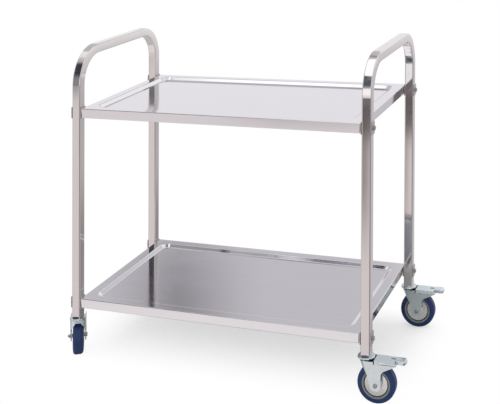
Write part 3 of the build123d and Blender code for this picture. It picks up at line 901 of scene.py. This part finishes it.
def clamp_fasteners():
    """Washers, hex bolts and nuts of the clamp plates."""
    sizes = bpy.context.scene.trolley_clamp
    washer_low, washer_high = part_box("clamp_washers")
    middle = (washer_low.x + washer_high.x) / 2
    seat = washer_high.x - middle
    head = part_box("clamp_bolts")[1].x - washer_high.x
    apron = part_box("upper_tray")[1].x - bpy.context.scene.trolley_tray.sheet
    nut = apron - min(vert.co.x for vert in frame["nodes"]["clamp_nuts"].data.vertices if vert.co.x > 0)
    plain = washer_high.x - apron
    under = -sizes.washer_plate
    ring = [(sizes.washer_hole, under, 0), (sizes.washer, under, sizes.washer_foot),
            (sizes.washer, 0, sizes.edge), (sizes.washer_hole, 0, 0)]
    washers, bolts, nuts = bmesh.new(), bmesh.new(), bmesh.new()
    for level in LEVELS:
        low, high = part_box(f"{level}_clamp_plates")
        z = (low.z + high.z) / 2
        for corner in CORNERS:
            x, y, _ = swivel_foot(corner)
            side = 1 if x > middle else -1
            place = (middle + side * seat, y, z)
            out = facing((side, 0, 0), place)
            turned(washers, ring, HEAD_STEPS, out)
            hex_prism(bolts, sizes.bolt_hex, head, sizes.bolt_chamfer, out)
            back = facing((-side, 0, 0), place)
            threaded(bolts, sizes.bolt, plain, nut + sizes.tip, sizes.pitch, back)
            nut_seat = facing((-side, 0, 0), (middle + side * (apron - middle), y, z))
            hex_prism(nuts, sizes.bolt_hex, nut, sizes.nut_chamfer, nut_seat, sizes.bolt * NUT_FIT)
    add_piece("clamp_plain_washers", washers, "frame", "bolt_steel", ["clamp_washers"])
    add_piece("clamp_hex_bolts", bolts, "frame", "bolt_steel", ["clamp_bolts"])
    add_piece("clamp_hex_nuts", nuts, "frame", "bolt_steel", ["clamp_nuts"])


def swivel_cups():
    """The pressed cups under the legs."""
    sizes = bpy.context.scene.trolley_caster
    low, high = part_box("swivel_cups")
    radius = high.x - swivel_foot(SQUARE_CORNER).x
    inside = radius - sizes.plate
    under = high.z - sizes.plate
    outline = [(sizes.cup_bore, under, 0), (inside, under, sizes.cup_inside), (inside, low.z, sizes.soft / 2),
               (radius, low.z, sizes.soft), (radius, high.z, sizes.cup_round), (sizes.cup_bore, high.z, 0)]
    bm = bmesh.new()
    for corner in CORNERS:
        turned(bm, outline, sizes.turn_steps, Matrix.Translation(swivel_foot(corner)))
    add_piece("swivel_cup_pressings", bm, "frame", "zinc_steel", ["swivel_cups"])


def fork(corner):
    """A pressed fork: crown, leading wall and two cheeks, with ears for a brake."""
    sizes = bpy.context.scene.trolley_caster
    low, high = square_box("fork")
    axle = square_point("roll")
    axle.y = low.y
    boss = axle.z - low.z
    nose = Vector((low.x, low.y, high.z))
    reach = axle - nose
    tangent = sqrt(reach.length_squared - boss * boss)
    slant = Matrix.Rotation(asin(boss / reach.length), 3, "Y") @ reach.normalized()
    heel = axle.x + boss
    bm = bmesh.new()
    nose_vert, start = outline_chain(bm, [nose, nose + slant * tangent])
    sweep = acos(max(-1, min(1, (start.co - axle).normalized().x)))
    last = sweep_arc(bm, start, axle, -sweep, sizes.boss_steps)
    if corner in BRAKED:
        rest = [(heel, high.z - sizes.ear_root), (high.x, high.z - sizes.ear_tip), (high.x, high.z)]
    else:
        rest = [(heel, high.z)]
    notch_x = sizes.crown_rear + sizes.plate
    notch_z = high.z - 2 * sizes.crown_fold
    rest += [(notch_x, high.z), (notch_x, notch_z), (sizes.crown_rear, notch_z), (sizes.crown_rear, high.z)]
    later = outline_chain(bm, [(x, low.y, z) for x, z in rest])
    bm.edges.new((last, later[0]))
    bm.edges.new((later[-1], nose_vert))
    bmesh.ops.contextual_create(bm, geom=bm.edges[:])
    if corner in BRAKED:
        round_off(bm, [later[0]], sizes.ear_fillet, EAR_STEPS, "VERTICES")
    thicken(bm, bm.faces[:], (0, high.y - low.y, 0))
    faces_out(bm)
    across = [face for face in bm.faces if abs(face.normal.y) < CHEEK]
    wall_way = slant.cross(Vector((0, 1, 0)))
    wall = max(across, key=lambda face: abs(face.normal.dot(wall_way)) * face.calc_area())
    crown = max(across, key=lambda face: face.normal.z * face.calc_area())
    bmesh.ops.delete(bm, geom=[face for face in across if face not in (wall, crown)], context="FACES")
    nose_edges = [edge for edge in square_edges(wall.edges)
                  if abs(edge.verts[0].co.y - edge.verts[1].co.y) < CLOSE]
    round_off(bm, nose_edges, sizes.nose_fold, sizes.nose_steps)
    crown = max((face for face in bm.faces if abs(face.normal.y) < CHEEK), key=lambda face: face.normal.z)
    crown_edges = [edge for edge in crown.edges if edge.is_manifold]
    round_off(bm, crown_edges, sizes.crown_fold, sizes.crown_steps)
    open_arch(bm, nose + slant * sizes.hood, slant, -low.y - sizes.nose_fold, sizes.hood_taper)
    bmesh.ops.transform(bm, matrix=caster_matrix(corner), verts=bm.verts)
    add_caster_piece(corner, "pressed_fork", bm, "swivel", "zinc_steel", "fork",
                     sheet=sizes.plate, edge=sizes.plate_edge)


def open_arch(bm, place, way, flat, taper):
    """Take the leading wall away below a line that drops at both sides, and leave the cheeks' curls."""
    across = Vector((0, 1, 0))
    middle = Vector((place.x, 0, place.z))
    cuts = [(middle, way)]
    cuts += [(middle + side * flat * across, way - side * taper * across) for side in (-1, 1)]
    for point, normal in cuts:
        front = [face for face in bm.faces
                 if abs(face.normal.y) < CURL_START and face.normal.z < CROWN_TILT]
        geom = {item for face in front for item in (face, *face.edges, *face.verts)}
        bmesh.ops.bisect_plane(bm, geom=list(geom), plane_co=point, plane_no=normal)
    below = []
    for face in bm.faces:
        away = face.calc_center_median() - middle
        drop = max(0, abs(away.y) - flat) * taper
        if abs(face.normal.y) < CURL_END and face.normal.z < CROWN_TILT and away.dot(way) > drop:
            below.append(face)
    bmesh.ops.delete(bm, geom=below, context="FACES")


def axle_set(corner):
    """Axle bolt with a domed head on the trolley's outer side, and its nut."""
    sizes = bpy.context.scene.trolley_caster
    half = square_box("fork")[1].y
    bolt_low, bolt_high = square_box("axle_bolt")
    nut_low, nut_high = square_box("axle_nut")
    head = -bolt_low.y - half
    matrix = cross_matrix(corner, "roll")
    outward = 1 if swivel_foot(corner).y > 0 else -1
    seat = matrix @ facing((0, 0, outward), (0, 0, outward * half))
    inward = matrix @ facing((0, 0, -outward), (0, 0, outward * half))
    nut_seat = matrix @ facing((0, 0, -outward), (0, 0, -outward * half))
    dome = [(0, 0, 0), (sizes.axle_head, 0, sizes.fine / 2),
            (sizes.axle_head, head, head * sizes.axle_dome), (0, head, 0)]
    bolt = bmesh.new()
    turned(bolt, dome, HEAD_STEPS, seat)
    threaded(bolt, sizes.axle, 2 * half, bolt_high.y - half, sizes.axle_pitch, inward)
    add_caster_piece(corner, "axle_round_bolt", bolt, "swivel", "bolt_steel", "axle_bolt")
    ring = bmesh.new()
    hex_prism(ring, sizes.axle_hex, nut_high.y - nut_low.y, sizes.soft, nut_seat, sizes.axle * NUT_FIT)
    add_caster_piece(corner, "axle_hex_nut", ring, "swivel", "bolt_steel", "axle_nut")


def wheel(corner):
    """Tyre, moulded core and pressed covers of one wheel."""
    sizes = bpy.context.scene.trolley_caster
    matrix = cross_matrix(corner, "roll")
    radius = square_point("roll").z
    core = radius_of("wheel_core")
    bore = radius_of("wheel_bearings")
    cover = radius_of("hub_covers")
    side, rim_side, hub_end = (square_box(piece)[1].y for piece in ("tyre", "wheel_core", "wheel_bearings"))

    tyre_side = [(core + sizes.fit, -side, sizes.soft), (radius, -side, sizes.shoulder),
                 (radius, -2 * sizes.seam, 0)]
    tyre = bmesh.new()
    outline = tyre_side + [(radius - sizes.seam, 0, 0)] + other_side(tyre_side)
    turned(tyre, outline, sizes.turn_steps, matrix)
    add_caster_piece(corner, "navy_tyre", tyre, "wheel", "tyre_rubber", "tyre")

    well = core - sizes.lip
    web = sizes.web / 2
    core_side = [(core, rim_side, sizes.fine), (well, rim_side, sizes.soft), (well, web, sizes.web_fillet),
                 (sizes.hub, web, sizes.web_fillet), (sizes.hub, hub_end, sizes.soft),
                 (bore + sizes.fit, hub_end, 0)]
    moulding = bmesh.new()
    turned(moulding, core_side + other_side(core_side), sizes.turn_steps, matrix)
    add_caster_piece(corner, "moulded_core", moulding, "wheel", "core_plastic", "wheel_core")

    face = hub_end + sizes.cover
    raised = face + sizes.cover_boss
    inner = radius_of("axle_sleeve") + sizes.cover_clear
    section = [(inner, hub_end, 0), (inner, raised, sizes.fine), (bore, raised, sizes.cover_crest),
               (sizes.hub, face, sizes.cover_fold), (cover, face, sizes.soft), (cover, hub_end, 0)]
    covers = bmesh.new()
    for outline in (other_side(section), section):
        turned(covers, outline, sizes.turn_steps, matrix)
    add_caster_piece(corner, "pressed_covers", covers, "wheel", "cover_steel", "hub_covers")


def brake_pedal(corner):
    """The foot pedal: a slotted plate with lugs on the pin and a raised hollow toe."""
    sizes = bpy.context.scene.trolley_brake
    low, high = square_box("brake_pedal")
    pin = square_point("brake")
    top = high.z - sizes.toe_raise
    toe_start = high.x - sizes.toe_length
    lug_start, lug_end = pin.x - sizes.lug, pin.x + sizes.lug_reach
    slot_start, slot_end = toe_start - sizes.slot_length, toe_start - sizes.slot_margin
    columns = [low.x, lug_start, lug_end, slot_start, slot_end, toe_start]
    rows = [low.y, -sizes.slot_width / 2, sizes.slot_width / 2, high.y]
    bm = bmesh.new()
    last_column, last_row = len(columns) - 1, len(rows) - 1
    grid = bmesh.ops.create_grid(bm, x_segments=last_column, y_segments=last_row, size=1)["verts"]
    for vert in grid:
        column = round((vert.co.x + 1) / 2 * last_column)
        row = round((vert.co.y + 1) / 2 * last_row)
        vert.co = (columns[column], rows[row], top)
    middles = {face: face.calc_center_median() for face in bm.faces}
    slot = [face for face, middle in middles.items()
            if slot_start < middle.x < slot_end and abs(middle.y) < sizes.slot_width / 2]
    bmesh.ops.delete(bm, geom=slot, context="FACES")
    folds = [edge for edge in bm.edges if all(abs(abs(vert.co.y) - high.y) < CLOSE for vert in edge.verts)
             and lug_start < (edge.verts[0].co.x + edge.verts[1].co.x) / 2 < lug_end]
    for edge in folds:
        foot = draw_out(bm, [edge], (0, 0, pin.z - sizes.lug - top))
        corners = {vert for item in foot for vert in item.verts}
        for vert in corners:
            vert.co.x = min(vert.co.x, pin.x + sizes.lug)
        round_off(bm, list(corners), sizes.lug * sizes.lug_round, EAR_STEPS, "VERTICES")
    faces_up(bm)
    join(bm, pedal_toe(sizes, toe_start, high))
    bmesh.ops.transform(bm, matrix=caster_matrix(corner), verts=bm.verts)
    add_caster_piece(corner, "foot_pedal", bm, "pedal", "zinc_steel", "brake_pedal",
                     sheet=sizes.plate, edge=sizes.plate_edge)


def pedal_toe(sizes, start, high):
    """The hollow toe at a pedal's end, in the caster's own axes."""
    toe = bmesh.new()
    half = sizes.toe_width / 2
    corners = flat_plate(toe, (start, -half), (high.x, half), high.z)
    ends = [vert for vert in corners if vert.co.x > start]
    round_off(toe, ends, sizes.toe_round, sizes.toe_steps, "VERTICES")
    faces_up(toe)
    draw_out(toe, toe.edges[:], (0, 0, -sizes.toe_height))
    faces_out(toe)
    brow = [edge for edge in square_edges(toe.edges)
            if all(vert.co.z > high.z - sizes.toe_edge for vert in edge.verts)]
    round_off(toe, brow, sizes.toe_edge)
    return toe


def brake_pin(corner):
    """The pin that a pedal turns on, flush with the fork's ears."""
    sizes = bpy.context.scene.trolley_brake
    end = square_box("brake_pin")[1].y
    pin_side = [(0, -end, 0), (sizes.pin, -end, sizes.pin_edge)]
    bm = bmesh.new()
    turned(bm, pin_side + other_side(pin_side), PIN_STEPS, cross_matrix(corner, "brake"))
    add_caster_piece(corner, "flush_pin", bm, "swivel", "zinc_steel", "brake_pin")


def brake_shoe(corner):
    """The rubber shoe under a pedal, curved like the tyre that it meets."""
    sizes = bpy.context.scene.trolley_brake
    low, high = square_box("brake_shoe")
    pin, axle = square_point("brake"), square_point("roll")
    pin.y = axle.y = low.y
    travel = radians(JOINTS[f"{corner}_brake"]["range_deg"][1])
    met = pin + Matrix.Rotation(-travel, 3, "Y") @ (axle - pin)
    curve = axle.z + sizes.slip
    starts = [Vector((x, low.y, met.z + sqrt(curve ** 2 - (x - met.x) ** 2))) for x in (low.x, high.x)]
    bm = bmesh.new()
    first = bm.verts.new(starts[0])
    last = sweep_arc(bm, first, met, (starts[0] - met).angle(starts[1] - met), sizes.shoe_steps)
    tops = outline_chain(bm, [(high.x, low.y, high.z), (low.x, low.y, high.z)])
    bm.edges.new((last, tops[0]))
    bm.edges.new((tops[1], first))
    bmesh.ops.contextual_create(bm, geom=bm.edges[:])
    thicken(bm, bm.faces[:], (0, high.y - low.y, 0))
    faces_out(bm)
    bmesh.ops.transform(bm, matrix=caster_matrix(corner), verts=bm.verts)
    add_caster_piece(corner, "rubber_shoe", bm, "pedal", "shoe_rubber", "brake_shoe", edge=sizes.shoe_edge)


def inner_pieces():
    """Finishes of the pieces inside legs and casters, whose solids stay."""
    for name, node in frame["nodes"].items():
        for ending, slot in HIDDEN_NODES.items():
            if name.endswith(ending):
                for place in node.material_slots:
                    place.material = finish_for(slot)


# Stage

# Where the shade on the floor fades out along an axis: the place where it is gone, and where it is full.
SHADE = (("X", -0.58, -0.42), ("X", 0.53, 0.38), ("Y", -0.26, 0.08), ("Y", 0.32, 0.2))


def floor_material(stage):
    """A pale floor that keeps the shade under the trolley and fades to white around it."""
    finish = Finish("pale floor")
    finish.set(base_color=stage.floor_colour, roughness=0.9, specular_ior_level=0.0, emission_color=(1, 1, 1))
    tree = finish.tree
    seen = add_node(tree, "LightPath").outputs["Is Camera Ray"]
    glow = work_out(tree, "MULTIPLY", seen, stage.floor_glow)
    sheen = work_out(tree, "MULTIPLY", mirrored_rays(tree), stage.floor_sheen)
    finish.feed(work_out(tree, "ADD", glow, sheen), "Emission Strength")
    place = add_node(tree, "SeparateXYZ", finish.place).outputs
    shaded = 1.0
    for axis, outside, inside in SHADE:
        shaded = work_out(tree, "MULTIPLY", remap(tree, place[axis], outside, inside, 0.0, 1.0, True), shaded)
    unseen = work_out(tree, "SUBTRACT", 1.0, seen)
    kept = work_out(tree, "MAXIMUM", shaded, unseen)
    white = add_node(tree, "Emission").outputs["Emission"]
    mix = add_node(tree, "MixShader", kept, white, finish.shader.outputs["BSDF"])
    tree.links.new(mix.outputs["Shader"], tree.nodes["Material Output"].inputs["Surface"])
    return finish.material


# Grey flags and bright panels around the set, which polished steel mirrors, each over those before it:
# a heading from +Y towards +X, a height above the horizon, a half width, a half height and a soft edge
# in degrees, and the colour.
FLAGS = {
    "zenith": (0.0, 90.0, 200.0, 24.0, 8.0, (0.84, 0.83, 0.84)),
    "far floor": (0.0, -50.0, 200.0, 40.5, 3.0, (0.62, 0.60, 0.63)),
    "front floor": (-155.0, -50.0, 34.0, 42.0, 2.0, (0.80, 0.745, 0.745)),
    "near floor": (-155.0, -50.0, 34.0, 22.0, 2.0, (0.90, 0.86, 0.86)),
    "left floor": (-112.0, -30.0, 9.0, 17.0, 3.0, (1.0, 1.0, 1.0)),
    "right floor": (170.0, -25.0, 16.0, 14.0, 3.0, (0.20, 0.185, 0.19)),
    "front ceiling": (-163.0, 30.0, 10.0, 14.0, 10.0, (0.10, 0.13, 0.16)),
    "front clear": (-167.0, 6.0, 12.0, 8.5, 1.0, (1.2, 1.2, 1.2)),
    "front shade": (-160.5, -16.4, 4.5, 3.4, 2.6, (0.38, 0.34, 0.34)),
    "front band": (-166.0, -13.6, 8.0, 1.5, 0.8, (0.13, 0.11, 0.115)),
    "overhead": (-90.0, 70.5, 52.0, 6.5, 1.5, (1.35, 1.35, 1.35)),
    "front fade": (-118.0, 48.0, 16.0, 10.0, 7.0, (0.60, 0.58, 0.58)),
    "front room": (-143.0, 19.0, 16.0, 28.0, 2.0, (0.28, 0.28, 0.31)),
    "front dark": (-143.0, 34.0, 16.0, 19.0, 9.0, (0.05, 0.05, 0.065)),
    "front gap": (-129.0, 10.0, 11.0, 18.0, 3.0, (0.95, 0.95, 0.95)),
    "front high gap": (-124.0, 24.0, 10.0, 13.0, 3.0, (0.95, 0.95, 0.95)),
    "front foot": (-143.0, -9.5, 6.0, 2.3, 0.5, (0.28, 0.28, 0.31)),
    "slope shade": (-102.0, 65.0, 9.0, 4.0, 1.0, (0.34, 0.32, 0.33)),
    "front glare": (-148.0, 57.0, 12.0, 8.0, 1.5, (1.35, 1.35, 1.35)),
    "rear right": (34.5, -20.5, 7.5, 9.0, 1.0, (0.54, 0.52, 0.52)),
    "rear right low": (34.0, 9.0, 7.0, 6.0, 2.0, (0.70, 0.68, 0.68)),
    "rear right floor": (33.0, -23.5, 8.0, 6.0, 2.0, (0.33, 0.31, 0.31)),
    "rear right ceiling": (34.0, 22.0, 7.0, 8.0, 3.0, (0.38, 0.36, 0.36)),
    "right wall": (84.0, 0.0, 22.0, 42.0, 5.0, (0.52, 0.50, 0.50)),
    "right high side": (118.0, 25.0, 13.0, 17.0, 4.0, (0.50, 0.49, 0.50)),
    "right side": (118.0, -17.0, 13.0, 25.0, 4.0, (0.05, 0.05, 0.06)),
    "left wall": (-94.0, 0.0, 15.0, 34.0, 5.0, (0.52, 0.50, 0.50)),
    "left high side": (-71.0, 25.0, 9.0, 17.0, 4.0, (0.50, 0.49, 0.50)),
    "left side": (-71.0, -17.0, 9.0, 25.0, 4.0, (0.07, 0.07, 0.08)),
    "front haze": (172.0, 18.0, 9.0, 9.0, 6.0, (0.72, 0.70, 0.72)),
    "right ceiling": (21.0, 38.0, 10.0, 16.0, 3.0, (0.66, 0.65, 0.68)),
    "far horizon": (-20.0, -2.0, 28.0, 7.5, 2.0, (0.64, 0.62, 0.65)),
    "horizon": (-23.0, 13.0, 24.0, 3.5, 3.0, (0.885, 0.865, 0.90)),
    "ceiling": (-39.0, 40.0, 26.0, 22.5, 3.0, (0.61, 0.595, 0.625)),
    "rear left": (-27.3, 40.0, 1.8, 20.0, 3.5, (0.24, 0.235, 0.25)),
}


def add_flag(tree, direction, below, flag):
    """Put one flag into the mirrored surroundings; the new colour socket."""
    heading, height, half_width, half_height, blur, tint = flag
    turn = add_node(tree, "VectorRotate", direction, rotation_type="Z_AXIS")
    turn.inputs["Angle"].default_value = radians(heading)
    x, y, z = add_node(tree, "SeparateXYZ", turn.outputs["Vector"]).outputs
    aside = work_out(tree, "ARCTAN2", x, y)
    above = work_out(tree, "SUBTRACT", work_out(tree, "ARCSINE", z), radians(height))
    mask = 1.0
    for away, half in ((aside, half_width), (above, half_height)):
        far = work_out(tree, "ABSOLUTE", away)
        inside = remap(tree, far, radians(half - blur), radians(half + blur), 1.0, 0.0, True)
        mask = work_out(tree, "MULTIPLY", inside, mask)
    return mix_colours(tree, mask, below, (*tint, 1))


def studio_world(stage):
    """White to the eye, plain light for matt surfaces, and a studio with flags for mirrors."""
    world = bpy.data.worlds.new("studio")
    bpy.context.scene.world = world
    world.use_nodes = True
    tree = world.node_tree
    direction = add_node(tree, "TexCoord").outputs["Generated"]
    white = (1, 1, 1, 1)
    mirrored = white
    for flag in FLAGS.values():
        mirrored = add_flag(tree, direction, mirrored, flag)
    plain = (stage.fill, stage.fill, stage.fill, 1)
    unseen = mix_colours(tree, mirrored_rays(tree), plain, mirrored)
    seen = add_node(tree, "LightPath").outputs["Is Camera Ray"]
    tree.links.new(mix_colours(tree, seen, unseen, white), tree.nodes["Background"].inputs["Color"])


def floor(stage):
    """The oval pale floor under the trolley."""
    mesh = bpy.data.meshes.new("floor")
    bm = bmesh.new()
    oval = Matrix.Diagonal((stage.floor_length, stage.floor_width, 1, 1))
    bmesh.ops.create_circle(bm, cap_ends=True, segments=stage.floor_steps, radius=1, matrix=oval)
    bm.to_mesh(mesh)
    bm.free()
    mesh.materials.append(floor_material(stage))
    ground = bpy.data.objects.new("floor", mesh)
    bpy.context.scene.collection.objects.link(ground)


def softbox(stage):
    """One soft lamp above and ahead of the trolley, which mirrors don't show."""
    lamp = bpy.data.lights.new("softbox", "AREA")
    lamp.energy = stage.key_power
    lamp.size = stage.key_size
    holder = bpy.data.objects.new("softbox", lamp)
    holder.matrix_world = facing(stage.key_back, stage.key_place)
    holder.visible_glossy = False
    bpy.context.scene.collection.objects.link(holder)


def camera(stage):
    """The photograph's view. Its uprights stay parallel, so its film stands off centre and a little
    skewed, as in a view camera, and the camera's holder carries that slant."""
    turn = (Matrix.Rotation(stage.heading, 3, "Z") @ Matrix.Rotation(stage.pitch, 3, "X")
            @ Matrix.Rotation(-stage.roll, 3, "Y"))
    right, ahead, up = turn.col[0], turn.col[1], turn.col[2]
    upright = (up - stage.skew * right).normalized()
    inward = (ahead + stage.swing * right + stage.rise * up).normalized()
    slant = Matrix((right, upright, -inward)).transposed().to_4x4()
    lens = bpy.data.cameras.new("camera")
    lens.sensor_width = stage.film
    lens.lens = stage.lens
    holder = bpy.data.objects.new("camera_holder", None)
    eye = bpy.data.objects.new("camera", lens)
    for item in (holder, eye):
        bpy.context.scene.collection.objects.link(item)
    eye.parent = holder
    eye.matrix_parent_inverse = Matrix.Translation(stage.place) @ slant
    bpy.context.scene.camera = eye


# Operators

class TROLLEY_OT_end_frames(bpy.types.Operator):
    """Bend the two end frames from square tube"""
    bl_idname = "trolley.end_frames"
    bl_label = "End Frames"

    def execute(self, context):
        for side in ("left", "right"):
            end_frame(side)
        return {"FINISHED"}


class TROLLEY_OT_trays(bpy.types.Operator):
    """Press and fold the two trays and their ribs"""
    bl_idname = "trolley.trays"
    bl_label = "Trays"

    def execute(self, context):
        for level in LEVELS:
            tray(level)
            tray_rib(level)
        return {"FINISHED"}


class TROLLEY_OT_clamps(bpy.types.Operator):
    """Cut the clamp plates and fit their bolts, washers and nuts"""
    bl_idname = "trolley.clamps"
    bl_label = "Leg Clamps"

    def execute(self, context):
        for level in LEVELS:
            clamp_plates(level)
        clamp_fasteners()
        return {"FINISHED"}


class TROLLEY_OT_forks(bpy.types.Operator):
    """Press the swivel cups and the caster forks"""
    bl_idname = "trolley.forks"
    bl_label = "Cups and Forks"

    def execute(self, context):
        swivel_cups()
        for corner in CORNERS:
            fork(corner)
        return {"FINISHED"}


class TROLLEY_OT_wheels(bpy.types.Operator):
    """Turn the tyres, cores and covers, and fit the axles"""
    bl_idname = "trolley.wheels"
    bl_label = "Wheels and Axles"

    def execute(self, context):
        for corner in CORNERS:
            wheel(corner)
            axle_set(corner)
        return {"FINISHED"}


class TROLLEY_OT_brakes(bpy.types.Operator):
    """Press the brake pedals and fit their pins and shoes"""
    bl_idname = "trolley.brakes"
    bl_label = "Foot Brakes"

    def execute(self, context):
        for corner in BRAKED:
            brake_pedal(corner)
            brake_pin(corner)
            brake_shoe(corner)
        return {"FINISHED"}


class TROLLEY_OT_inner_pieces(bpy.types.Operator):
    """Finish the pieces inside the legs and casters"""
    bl_idname = "trolley.inner_pieces"
    bl_label = "Inner Pieces"

    def execute(self, context):
        inner_pieces()
        return {"FINISHED"}


class TROLLEY_OT_stage(bpy.types.Operator):
    """Set up the floor, the light and the camera"""
    bl_idname = "trolley.stage"
    bl_label = "Stage"

    def execute(self, context):
        stage = context.scene.trolley_stage
        context.scene.view_settings.view_transform = "Standard"
        floor(stage)
        studio_world(stage)
        softbox(stage)
        camera(stage)
        return {"FINISHED"}


OPERATORS = (
    TROLLEY_OT_end_frames,
    TROLLEY_OT_trays,
    TROLLEY_OT_clamps,
    TROLLEY_OT_forks,
    TROLLEY_OT_wheels,
    TROLLEY_OT_brakes,
    TROLLEY_OT_inner_pieces,
    TROLLEY_OT_stage,
)

SETTINGS = {
    "trolley_tube": TrolleyTube,
    "trolley_tray": TrolleyTray,
    "trolley_clamp": TrolleyClamp,
    "trolley_caster": TrolleyCaster,
    "trolley_brake": TrolleyBrake,
    "trolley_finish": TrolleyFinish,
    "trolley_stage": TrolleyStage,
}


class TROLLEY_PT_sidebar(bpy.types.Panel):
    """Steps and settings of the trolley"""
    bl_idname = "TROLLEY_PT_sidebar"
    bl_label = "Serving Trolley"
    bl_space_type = "VIEW_3D"
    bl_region_type = "UI"
    bl_category = "Trolley"

    def draw(self, context):
        for operator in OPERATORS:
            self.layout.operator(operator.bl_idname)
        for name in SETTINGS:
            settings = getattr(context.scene, name)
            column = self.layout.column(heading=settings.bl_rna.description)
            for prop in settings.bl_rna.properties:
                if not prop.is_readonly and prop.identifier != "name":
                    column.prop(settings, prop.identifier)


CLASSES = (*SETTINGS.values(), *OPERATORS, TROLLEY_PT_sidebar)


def register():
    for item in CLASSES:
        bpy.utils.register_class(item)
    for name, group in SETTINGS.items():
        setattr(bpy.types.Scene, name, PointerProperty(type=group))


def unregister():
    for name in SETTINGS:
        delattr(bpy.types.Scene, name)
    for item in reversed(CLASSES):
        bpy.utils.unregister_class(item)


def main():
    """Build the trolley and its stage."""
    register()
    bpy.ops.trolley.end_frames()
    bpy.ops.trolley.trays()
    bpy.ops.trolley.clamps()
    bpy.ops.trolley.forks()
    bpy.ops.trolley.wheels()
    bpy.ops.trolley.brakes()
    bpy.ops.trolley.inner_pieces()
    bpy.ops.trolley.stage()


if __name__ == "__main__":
    main()
